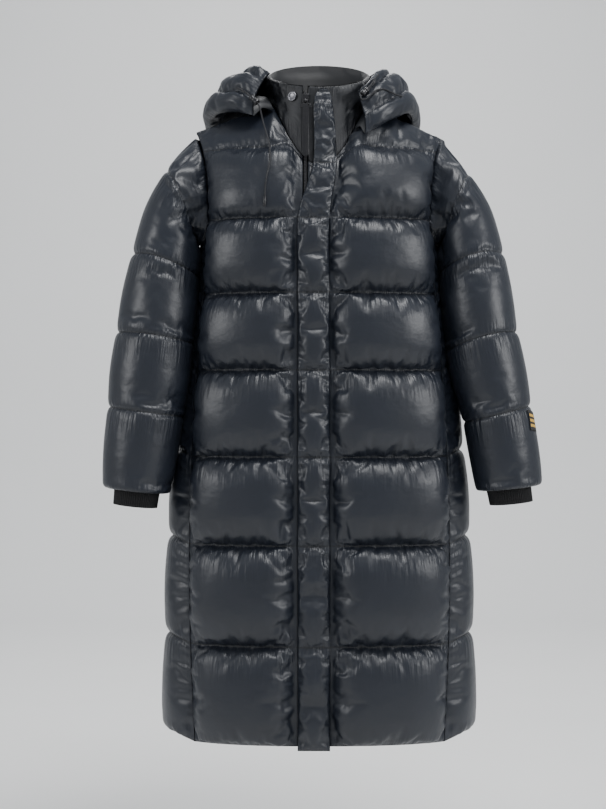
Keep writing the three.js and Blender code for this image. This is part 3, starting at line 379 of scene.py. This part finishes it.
def nylon():
    """Satin nylon: gathers that start at each seam, wide creases between them, stitches in the seams, and
    the seam strips painted darker as shade in the valleys between the baffles.
    """
    effect = Effect("nylon")
    split = effect.tree.nodes.new("ShaderNodeSeparateXYZ")
    effect.tree.links.new(effect.map(), split.inputs[0])
    share = effect.math("FRACT", split.outputs["Y"])
    apart = effect.math("PINGPONG", split.outputs["Y"], 0.5)
    near, under = [effect.math("SUBTRACT", 1.0, effect.math(
        "MINIMUM", effect.math("MULTIPLY", way, end), 1.0)) for way, end in
        ((apart, GATHERS_END), (share, GATHERS_BELOW_END))]
    near = effect.math("MULTIPLY", near, near)
    gathers = effect.noise(effect.map(*GATHERS), 1.0)
    creases = effect.noise(effect.map(*CREASES), 1.0, 3.0)
    weave = effect.noise(effect.place(), THREADS, 1.0)
    height = effect.math("MULTIPLY", gathers, effect.math("MAXIMUM", near, under))
    height = effect.math("MULTIPLY_ADD", creases, CREASE_DEPTH, height)
    height = effect.math("MULTIPLY_ADD", weave, THREAD_DEPTH, height)
    seam_strip_stitches_and_shade = effect.math("LESS_THAN", apart, SEAM_HALF)
    dash = effect.math("SINE", effect.math("MULTIPLY", split.outputs["X"], 2 * math.pi / STITCH))
    stitch = effect.math("MULTIPLY", seam_strip_stitches_and_shade, effect.math("MULTIPLY_ADD", dash, *STITCH_DEPTH))
    height = effect.math("SUBTRACT", height, stitch)
    # The tone varies at random, and the seam strips are pushed to the dark colour: painted shade in the seam
    # valleys.
    tone_and_painted_seam_shade = effect.math("MULTIPLY_ADD", effect.noise(effect.map(*TONES), 1.0), TONE_SHARE, seam_strip_stitches_and_shade)
    return effect.close(effect.math("MINIMUM", tone_and_painted_seam_shade, 1.0), height)


def plain_weave():
    effect = Effect("plain weave")
    soft = effect.noise(effect.place(), LINING_CREASES, 3.0)
    threads = effect.noise(effect.place(), LINING_THREADS)
    return effect.close(soft, effect.math("MULTIPLY_ADD", threads, 0.1, soft))


NYLON = nylon()
SHELL = shader("satin_nylon", ((0.0112, 0.0148, 0.0232), (0.0045, 0.0060, 0.0092)), (0.36, 0.49), NYLON,
               bump=0.75, depth=0.0055)
# A darker copy of the satin nylon for the collar; its darker colours are painted shade round the neck.
SHELL_WITH_PAINTED_SHADE = shader("satin_nylon_painted_shade", ((0.0060, 0.0075, 0.0110), (0.0030, 0.0038, 0.0055)), (0.50, 0.62),
                      NYLON, bump=0.9, depth=0.0055)
LINING = shader("lining", ((0.014, 0.014, 0.016), (0.009, 0.009, 0.010)), (0.55, 0.7), plain_weave(),
                bump=0.2, depth=0.002)


def body_core(p):
    """A point inside the coat near p, which the outer cloth faces away from, as each of these gives."""
    return Vector((CORE_WIDTH * p.x, 0, min(p.z, CORE_TOP)))


def outer_faces(bm, core):
    """The faces of a wall's outer side: all that is joined to its cut edge without meeting the lining's."""
    cut = {e for e in bm.edges if abs(e.calc_length() - WALL) < SAME_EDGE}
    outer_end, done = {}, set()
    for seed in cut:
        if seed in done:
            continue
        run, waiting = {}, [(seed, seed.verts[0])]
        while waiting:
            edge, a = waiting.pop()
            if edge in done:
                continue
            done.add(edge)
            run[edge] = a
            beside = {e.other_vert(edge.other_vert(a)) for e in edge.other_vert(a).link_edges}
            for link in a.link_edges:
                n = link.other_vert(a)
                waiting += [(e, n) for e in n.link_edges if e in cut and e.other_vert(n) in beside]
        vote = sum((a.co - e.other_vert(a).co).dot(a.co - core(a.co)) for e, a in run.items())
        outer_end.update({e: a if vote >= 0 else e.other_vert(a) for e, a in run.items()})
    lining_edge = {e.other_vert(v) for e, v in outer_end.items()}
    found, waiting = set(), [f for v in outer_end.values() for f in v.link_faces]
    while waiting:
        face = waiting.pop()
        if face not in found and not lining_edge.intersection(face.verts):
            found.add(face)
            waiting += [f for v in face.verts for f in v.link_faces]
    return found


def read_wall(name, core, rows, columns, start, ring=False):
    """A wall's outer points row by row, the way from each to the lining, and a mesh of its other faces."""
    bm = bmesh.new()
    bm.from_mesh(nodes[name].data)
    bmesh.ops.remove_doubles(bm, verts=bm.verts, dist=SAME_PLACE)
    bm.normal_update()
    bm.verts.index_update()
    shown = outer_faces(bm, core)
    third = {}
    count = {}
    for f in shown:
        a, b, c = [v.index for v in f.verts]
        for p, q, r in ((a, b, c), (b, c, a), (c, a, b)):
            third[(p, q)] = r
            count[p] = count.get(p, 0) + 1
    follow = {p: q for (p, q) in third if (q, p) not in third}
    place = {v.index: v.co.copy() for v in bm.verts}

    def loop_from(first):
        loop = [first]
        while follow[loop[-1]] != first:
            loop.append(follow[loop[-1]])
        return loop

    def other(a, b, above):
        for key in ((a, b), (b, a)):
            if key in third and third[key] not in above:
                return third[key]
        return None

    if ring:
        loops = []
        left = set(follow)
        while left:
            loop = loop_from(next(iter(left)))
            left -= set(loop)
            loops.append(loop)
        top = max(loops, key=lambda loop: sum(start(place[i]) for i in loop) / len(loop))
        first = max(top, key=lambda i: place[i].z)
        k = top.index(first)
        grid = [top[k:] + top[:k]]
        for r in range(1, rows):
            row, above = grid[-1], set(grid[-2]) if r > 1 else set()
            pairs = list(zip(row, row[1:] + row[:1]))
            below = [other(a, b, above) for a, b in pairs]
            near = sum((place[a] - place[x]).length for (a, b), x in zip(pairs, below))
            far = sum((place[b] - place[x]).length for (a, b), x in zip(pairs, below))
            grid.append(below if near < far else below[-1:] + below[:-1])
        grid = [row + row[:1] for row in grid]
    else:
        corners = [i for i in follow if count[i] == 2]
        first = max(corners, key=lambda i: start(place[i]))
        loop = loop_from(first)
        if count[loop[columns - 1]] == 1:
            top, side = loop[:columns], [loop[-k] for k in range(rows)]
        else:
            top, side = [loop[-k] for k in range(columns)], loop[:rows]
        grid = [top]
        for r in range(1, rows):
            above = set(grid[-2]) if r > 1 else set()
            row = [side[r]]
            for a, b in zip(grid[-1], grid[-1][1:]):
                row.append(other(a, b, above))
            grid.append(row)
    points = np.array([[place[i][:] for i in row] for row in grid])
    bmesh.ops.delete(bm, geom=list(shown), context="FACES")
    lining = bm.copy()
    rim = [f for f in lining.faces if any(v.is_boundary for v in f.verts)]
    bmesh.ops.delete(lining, geom=rim, context="FACES")
    tree = BVHTree.FromBMesh(lining)
    lining.free()
    back = np.array([[tree.find_nearest(Vector(p))[0][:] for p in row] for row in points]) - points
    return points, back, bm


def fine_grid(points, back, seams, ring, spacing):
    """The wall's outer points again, evenly spaced, with the rows of its seams kept as rows."""
    both = np.concatenate([points, back], axis=2)
    parts, sewn, down = [both[:1]], [0], [0.0]
    for k, (a, b) in enumerate(zip(seams, seams[1:])):
        s = lengths(points[a:b + 1])
        n = max(2, round(s[-1] / spacing))
        want = np.linspace(0, s[-1], n + 1)[1:]
        parts.append(between(both[a:b + 1], s, want))
        down.extend(k + want / s[-1])
        sewn.append(sewn[-1] + n)
    grid = np.concatenate(parts)
    if ring:
        grid = np.concatenate([grid[:, -3:-1], grid, grid[:, 1:3]], axis=1)
    s = lengths(grid[..., :3].swapaxes(0, 1))
    first, last = (s[2], s[-3]) if ring else (0, s[-1])
    n = max(2, round((last - first) / spacing))
    grid = between(grid.swapaxes(0, 1), s, np.linspace(first, last, n + 1)).swapaxes(0, 1)
    if ring:
        grid = grid[:, :-1]
    return grid[..., :3], grid[..., 3:], sewn, np.array(down), last - first


def cloth_grid(name, grid, down, width, ring=False):
    """A grid of quads at the given points; its map has metres across and seams downwards."""
    rows, columns = grid.shape[:2]
    wide = columns + (1 if ring else 0)
    bm = bmesh.new()
    bmesh.ops.create_grid(bm, x_segments=wide - 1, y_segments=rows - 1, size=1)
    bm.verts.index_update()
    place = bm.verts.layers.int.new("place")
    layer = bm.loops.layers.uv.new("cloth")
    for f in bm.faces:
        for loop in f.loops:
            r, c = divmod(loop.vert.index, wide)
            loop[layer].uv = (width * c / (wide - 1), down[r])
    for v in bm.verts:
        r, c = divmod(v.index, wide)
        v.co = grid[r, c % columns]
        v[place] = r * columns + c % columns
    bmesh.ops.remove_doubles(bm, verts=bm.verts, dist=1e-7)
    mesh = bpy.data.meshes.new(name)
    bm.to_mesh(mesh)
    bm.free()
    return mesh


def face_out(mesh, core):
    """Turns the whole sheet if its faces point inwards."""
    total = sum(f.normal.dot(f.center - core(f.center)) for f in mesh.polygons)
    if total < 0:
        mesh.flip_normals()


def fill_with_down(mesh, grid, held, spare, pressure, cap):
    """Lets the cloth swell and gather between the points where it is held; gives the new grid."""
    piece = bpy.data.objects.new("swelling", mesh)
    bpy.context.collection.objects.link(piece)
    place = np.empty(len(mesh.vertices), dtype=np.int32)
    mesh.attributes["place"].data.foreach_get("value", place)
    group = piece.vertex_groups.new(name="sewn")
    group.add([int(i) for i in np.nonzero(held.ravel()[place])[0]], 1, "REPLACE")
    cloth = piece.modifiers.new("cloth", "CLOTH")
    settings = cloth.settings
    settings.vertex_group_mass = group.name
    settings.quality = 4
    settings.mass = 0.15
    settings.tension_stiffness = STIFF
    settings.compression_stiffness = STIFF
    settings.shear_stiffness = STIFF / 2
    settings.bending_stiffness = 0.02
    settings.tension_damping = 3
    settings.compression_damping = 3
    settings.air_damping = 1
    settings.use_pressure = True
    settings.uniform_pressure_force = pressure
    settings.use_pressure_volume = True
    settings.target_volume = 0
    settings.shrink_min = -spare
    settings.shrink_max = -spare
    settings.effector_weights.gravity = 0
    cloth.collision_settings.use_collision = False
    cloth.collision_settings.use_self_collision = False
    cloth.point_cache.frame_start = 1
    cloth.point_cache.frame_end = FRAMES
    scene = bpy.context.scene
    for step in range(1, FRAMES + 1):
        scene.frame_set(step)
    moved = piece.evaluated_get(bpy.context.evaluated_depsgraph_get()).to_mesh()
    after = np.empty(len(mesh.vertices) * 3)
    moved.vertices.foreach_get("co", after)
    swollen = grid.reshape(-1, 3).copy()
    swollen[place] = after.reshape(-1, 3)
    bpy.data.objects.remove(piece)
    scene.frame_set(1)
    move = swollen.reshape(grid.shape) - grid
    far = np.linalg.norm(move, axis=2, keepdims=True)
    return grid + move * cap * np.tanh(far / cap) / np.maximum(far, 1e-9)


def allowance(edge, within, by):
    """An edge moved on by a distance, away from the points within."""
    way = edge - within
    return edge + by * way / np.linalg.norm(way, axis=-1, keepdims=True)


def turned_in(grid, inner, ring, top, sides):
    """The grid with one more row of points round it, on the lining's side of its cut edge. At its top and
    sides the row may reach on under the piece that it is sewn to, as a seam's allowance does."""
    above = allowance(inner[0], inner[2], top)[None]
    grid = np.concatenate([above, grid, inner[-1:]])
    if not ring:
        left = allowance(inner[:, 0], inner[:, 2], sides)[:, None]
        right = allowance(inner[:, -1], inner[:, -3], sides)[:, None]
        left_top = allowance(above[:, 0], above[:, 2], sides)[:, None]
        right_top = allowance(above[:, -1], above[:, -3], sides)[:, None]
        left = np.concatenate([left_top, left, inner[-1:, :1]])
        right = np.concatenate([right_top, right, inner[-1:, -1:]])
        grid = np.concatenate([left, grid, right], axis=1)
    return grid


def quilted(name, core, rows, columns, seams, start, ring=False, spacing=SPACING, spare=SPARE,
            pressure=PRESSURE, cap=MOST_MOVE, top=0.0, sides=0.0, start_in=START_IN, cloth=SHELL,
            calm=0.0):
    """A quilted piece: its swollen shell, turned in at its edges, and the plain lining behind it.
    Its first seams, as many as calm says, swell less, because a cord lies on them."""
    points, back, rest = read_wall(name, core, rows, columns, start, ring)
    grid, back, sewn, down, width = fine_grid(points, back, seams, ring, spacing)
    thick = np.linalg.norm(back, axis=2, keepdims=True)
    inward = back / thick
    held = thick[..., 0] < HELD_BELOW
    held[sewn] = True
    if not ring:
        held[:, [0, -1]] = True
    inner = grid + inward * WALL
    grid = grid + inward * start_in * np.maximum(thick - WALL, 0)
    if calm:
        change = (calm - CALM_BLEND, calm + CALM_BLEND)
        cap = np.interp(down, change, (CALM_MOVE, cap))[:, None, None]
    mesh = cloth_grid(name, grid, down, width, ring)
    face_out(mesh, core)
    grid = fill_with_down(mesh, grid, held, spare, pressure, cap)
    down = np.concatenate([down[:1], down, down[-1:]])
    mesh = cloth_grid(name, turned_in(grid, inner, ring, top, sides), down, width, ring)
    face_out(mesh, core)
    piece = bpy.data.objects.new(name + "_quilted", mesh)
    bpy.context.collection.objects.link(piece)
    smooth = piece.modifiers.new("smooth", "SUBSURF")
    smooth.levels = smooth.render_levels = 1
    finished = bpy.data.meshes.new_from_object(piece.evaluated_get(bpy.context.evaluated_depsgraph_get()))
    piece.modifiers.remove(smooth)
    bm = bmesh.new()
    bm.from_mesh(finished)
    shell_faces = len(bm.faces)
    behind = bpy.data.meshes.new(name + "_lining")
    rest.to_mesh(behind)
    rest.free()
    bm.from_mesh(behind)
    bm.faces.ensure_lookup_table()
    for f in bm.faces:
        f.smooth = True
        f.material_index = 0 if f.index < shell_faces else 1
    bm.to_mesh(finished)
    bm.free()
    finished.materials.clear()
    finished.materials.append(cloth)
    finished.materials.append(LINING)
    piece.data = finished
    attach(piece, "coat")
    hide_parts(name)
    return piece


def height_of(p):
    return p.z


PANEL = dict(core=body_core, rows=46, seams=[0, 4, 8, 15, 21, 27, 33, 39, 45], start=height_of)
SIDE = dict(core=body_core, rows=37, columns=5, seams=range(0, 37, 6), start=height_of, cap=0.005,
            top=0.014, sides=0.006, start_in=0.35)
quilted("front_left", columns=10, **PANEL)
quilted("front_right", columns=10, calm=2.0, **PANEL)
quilted("back", columns=15, **PANEL)
quilted("side_left", **SIDE)
quilted("side_right", **SIDE)

# Sleeves
# Quilted tubes of the same cloth with five baffles each, sewn into the armholes and hanging a little
# forward. Their hems are turned in round the cuffs.
SLEEVE_TOP = -0.15
SLEEVE_LINE = (  # height, and where the middle of the sleeve is
    (-0.70, 0.324, -0.064), (-0.542, 0.304, -0.056), (-0.415, 0.280, -0.046), (-0.282, 0.262, -0.028),
    (-0.12, 0.19, -0.003),
)


def sleeve_core(side):
    line = np.array(SLEEVE_LINE)

    def core(p):
        x = np.interp(p.z, line[:, 0], line[:, 1])
        y = np.interp(p.z, line[:, 0], line[:, 2])
        return Vector((side * x, y, min(p.z, SLEEVE_TOP)))
    return core


SLEEVE = dict(rows=31, columns=22, seams=range(0, 31, 6), start=height_of, ring=True, cap=0.0045,
              pressure=5.0, top=0.014, start_in=0.5)
sleeve_left = quilted("sleeve_left", sleeve_core(1), **SLEEVE)
quilted("sleeve_right", sleeve_core(-1), **SLEEVE)

# Cuffs
# Tubes knitted in ribs from a stretching yarn, narrower than the sleeves. They are sewn inside the
# sleeves and show below their hems.
CUFFS = {
    "cuff_left": dict(side=1, hem=(0.324, -0.064, -0.668), way=(0.020, -0.008, -0.126), half=0.050,
                      depth=0.059),
    "cuff_right": dict(side=-1, hem=(0.311, -0.074, -0.672), way=(0.015, -0.010, -0.134), half=0.051,
                       depth=0.060),
}
CUFF_PROFILE = (  # how far below the sleeve's hem, and the share of the hem's width
    (-0.031, 0.955), (-0.023, 0.93), (-0.010, 0.83), (0.0, 0.765), (0.013, 0.748), (0.0265, 0.738),
)
HEM_TILT = math.radians(6)
RIBS = 66
RIB_POINTS = 6
RIB_HEIGHT = 0.0006
KNIT_THICK = 0.0016
KNIT_ROWS = 15
COURSE = 0.0016  # how high a row of stitches is
FUZZ = 1200.0  # per metre


def knit_stitches():
    effect = Effect("rib knit")
    courses = effect.node("ShaderNodeTexWave", 1, Vector=effect.map(0, 1), Scale=1.0, Distortion=0.0,
                          bands_direction="Y")
    fuzz = effect.noise(effect.place(), FUZZ)
    return effect.close(fuzz, effect.math("MULTIPLY_ADD", courses, 0.5, fuzz))


KNIT = shader("rib_knit", ((0.010, 0.010, 0.011), (0.004, 0.004, 0.0045)), (0.85, 0.95), knit_stitches(),
              bump=0.4, depth=0.0006)


def ribbed_cuff(name, side, hem, way, half, depth):
    way = Vector(way).normalized()
    rows, columns = KNIT_ROWS, RIBS * RIB_POINTS
    profile = np.array(CUFF_PROFILE)
    downs = np.linspace(profile[0, 0], profile[-1, 0], rows)
    shares = np.interp(downs, profile[:, 0], profile[:, 1])
    grid = np.empty((rows, columns, 3))
    for r in range(rows):
        for c in range(columns):
            angle = 2 * math.pi * c / columns
            rib = RIB_HEIGHT * math.cos(RIBS * angle) / half - RIB_HEIGHT / half
            w = (shares[r] + rib) * half * math.cos(angle)
            d = (shares[r] + rib) * depth * math.sin(angle)
            p = Vector(hem) + Vector((w * math.cos(HEM_TILT), -d, w * math.sin(HEM_TILT))) + way * downs[r]
            grid[r, c] = (side * p.x, p.y, p.z)
    middle = grid[rows // 2]
    around = lengths(np.concatenate([middle, middle[:1]]))[-1]
    mesh = cloth_grid(name, grid, downs / COURSE, around, ring=True)
    face_out(mesh, lambda p: Vector((side * hem[0], hem[1], p.z)))
    mesh.shade_smooth()
    mesh.materials.append(KNIT)
    piece = bpy.data.objects.new(name + "_knit", mesh)
    bpy.context.collection.objects.link(piece)
    solid = piece.modifiers.new("thickness", "SOLIDIFY")
    solid.thickness = KNIT_THICK
    solid.offset = -1
    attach(piece, "coat")
    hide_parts(name)


for name, sizes in CUFFS.items():
    ribbed_cuff(name, **sizes)

# Sleeve patch
# A small woven patch in gold and black stripes with a dark border. It is sewn flat on the front of the
# wearer's left sleeve, above the hem.
PATCH_OFF = 0.0006
PATCH_THICK = 0.0009
PATCH_POINTS = (15, 11)  # down and across
CAST_FROM = 0.04  # how far off the sleeve is felt for
STRIPE = 0.125  # of the patch's height, for half a pair of stripes
GOLD = 0.068  # the same for half a gold stripe
BORDER_FROM = 0.41  # of its width, from the middle
BORDER_TALLER = 0.02
PATCH_THREADS = (60, 12)


def woven_stripes():
    effect = Effect("woven stripes")
    split = effect.tree.nodes.new("ShaderNodeSeparateXYZ")
    effect.tree.links.new(effect.map(), split.inputs[0])
    band = effect.math("GREATER_THAN", effect.math("PINGPONG", split.outputs["Y"], STRIPE), GOLD)
    aside = effect.math("ABSOLUTE", effect.math("SUBTRACT", split.outputs["X"], 0.5))
    up = effect.math("ABSOLUTE", effect.math("SUBTRACT", split.outputs["Y"], 0.5))
    rim = effect.math("MAXIMUM", aside, effect.math("SUBTRACT", up, BORDER_TALLER))
    edge = effect.math("GREATER_THAN", rim, BORDER_FROM)
    threads = effect.noise(effect.map(*PATCH_THREADS), 1.0)
    return effect.close(effect.math("MAXIMUM", band, edge), threads)


WOVEN = shader("woven_patch", ((0.50, 0.30, 0.045), (0.012, 0.011, 0.010)), (0.6, 0.75), woven_stripes(),
               bump=0.5, depth=0.0006)


def lay_patch(sleeve):
    corners = np.array([v.co[:] for v in nodes["sleeve_patch"].data.vertices])
    middle = corners.mean(axis=0)
    axes = np.linalg.svd(corners - middle)[2]
    up = axes[0] * (1 if axes[0][2] > 0 else -1)
    out_way = axes[2] * (1 if axes[2][0] > 0 else -1)
    right = np.cross(up, -out_way)
    spread = [np.abs((corners - middle) @ axis).max() for axis in (right, up)]
    faces = [f.vertices for f in sleeve.data.polygons]
    tree = BVHTree.FromPolygons([v.co for v in sleeve.data.vertices], faces)
    rows, columns = PATCH_POINTS
    grid = np.empty((rows, columns, 3))
    for r, v in enumerate(np.linspace(1, -1, rows)):
        for c, u in enumerate(np.linspace(-1, 1, columns)):
            p = middle + u * spread[0] * right + v * spread[1] * up + CAST_FROM * out_way
            hit = tree.ray_cast(Vector(p), Vector(-out_way))[0]
            if hit is None:
                hit = Vector(p - CAST_FROM * out_way)
            grid[r, c] = hit + Vector(out_way) * PATCH_OFF
    mesh = cloth_grid("patch", grid, np.linspace(0, 1, rows), 1.0)
    face_out(mesh, lambda p: p - Vector(out_way))
    mesh.shade_smooth()
    mesh.materials.append(WOVEN)
    piece = bpy.data.objects.new("patch_woven", mesh)
    bpy.context.collection.objects.link(piece)
    solid = piece.modifiers.new("thickness", "SOLIDIFY")
    solid.thickness = PATCH_THICK
    solid.offset = 1
    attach(piece, "coat")
    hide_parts("sleeve_patch")


lay_patch(sleeve_left)


# Collar
# A stand-up band of the same cloth with one puffed row. It is sewn round the neck, and is flat where the
# storm flap closes over it. Its colours are a darker copy of the nylon's: painted shade round the neck.
def collar_core(p):
    return Vector((0, 0, p.z))


def depth_of(p):
    return -p.z


quilted("collar", collar_core, rows=6, columns=17, seams=[0, 5], start=depth_of, cap=0.006, pressure=5.0,
        top=0.004, cloth=SHELL_WITH_PAINTED_SHADE)

# Hood
# Three quilted panels that lie turned back round the neck: up from the rim, over the crown, down the
# back and in under themselves to the neck seam.
HOOD_LINE = (  # degrees from the back, how far out from the neck seam the middle of the roll is, its height
    (0, 0.075, -0.07), (62, 0.065, -0.005), (90, 0.058, 0.015), (114, 0.045, 0.0), (138, 0.03, -0.032),
)
NECK_RADIUS = 0.078


def hood_core(p):
    line = np.array(HOOD_LINE)
    turned = math.degrees(math.atan2(abs(p.x), p.y))
    out = NECK_RADIUS + np.interp(turned, line[:, 0], line[:, 1])
    way = Vector((p.x, p.y, 0)).normalized()
    return Vector((way.x * out, way.y * out, np.interp(turned, line[:, 0], line[:, 2])))


for name in ("hood_middle", "hood_left", "hood_right"):
    quilted(name, hood_core, rows=21, columns=7, seams=range(0, 21, 4), start=height_of, cap=0.004,
            pressure=4.0, spare=0.07)


# Storm flap
# A narrow quilted strip of the same cloth, with its own short baffles. It is sewn to the wearer's left
# front and covers the zip; its open top is folded over.
def flap_core(p):
    return Vector((p.x, p.y + 1, p.z))


quilted("storm_flap", flap_core, rows=37, columns=6, seams=range(0, 37, 4), start=height_of, cap=0.005,
        spacing=0.004, pressure=6.0)

# Zip
# Moulded teeth on a woven tape that is sewn to the fronts, closed. The enamelled slider is at the top,
# and a long pull hangs from its bail and swings on it.
ZIP_X = -0.024
HALF_CHAIN = 0.00245
TOOTH_STEP = 0.0027
TOOTH = (0.0042, 0.0012, 0.0014)  # across, deep, high
TOOTH_SHIFT = 0.0004  # by turns to each side
LEVEL = 0.0006  # points of the chain within this are level
TAPE_RIBS = 600.0  # per metre
TAPE_FUZZ = 800.0


def zip_tape():
    effect = Effect("zip tape")
    ribs = effect.node("ShaderNodeTexWave", 1, Vector=effect.place(), Scale=TAPE_RIBS, Distortion=0.0,
                       bands_direction="Z")
    return effect.close(effect.noise(effect.place(), TAPE_FUZZ), ribs)


TAPE = shader("woven_tape", ((0.014, 0.014, 0.015), (0.008, 0.008, 0.009)), (0.7, 0.85), zip_tape(),
              bump=0.3, depth=0.0003)
TEETH = shader("moulded_teeth", ((0.045, 0.045, 0.05), (0.02, 0.02, 0.022)), (0.25, 0.4), METAL, bump=0.1,
               depth=0.0002)
fitting("zip_chain", TAPE, bevel=0)
chain = [v.co for v in nodes["zip_chain"].data.vertices if abs(v.co.x - ZIP_X) < HALF_CHAIN]
heights = sorted({round(p.z, 5) for p in chain})
fronts = [min(p.y for p in chain if abs(p.z - h) < LEVEL) for h in heights]
bm = bmesh.new()
z = heights[0] + TOOTH_STEP
k = 0
while z < heights[-1] - TOOTH_STEP:
    shift = TOOTH_SHIFT if k % 2 else -TOOTH_SHIFT
    at = Vector((ZIP_X + shift, np.interp(z, heights, fronts), z))
    tooth = bmesh.ops.create_cube(bm, size=1)
    bmesh.ops.scale(bm, vec=TOOTH, verts=tooth["verts"])
    bmesh.ops.translate(bm, vec=at, verts=tooth["verts"])
    z += TOOTH_STEP
    k += 1
mesh = bpy.data.meshes.new("zip_teeth")
bm.to_mesh(mesh)
bm.free()
mesh.materials.append(TEETH)
teeth = bpy.data.objects.new("zip_teeth", mesh)
bpy.context.collection.objects.link(teeth)
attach(teeth, "coat")
fitting("zip_slider", ENAMEL, bevel=0.0006)
fitting("zip_bail", ENAMEL, bevel=0.0003)
fitting("zip_pull", ENAMEL, body="pull", bevel=0.0004)

# Snap
# The pressed steel socket that the open top of the storm flap would close on. It is riveted through the
# collar.
fitting("snap_socket", STEEL, bevel=0.0003)
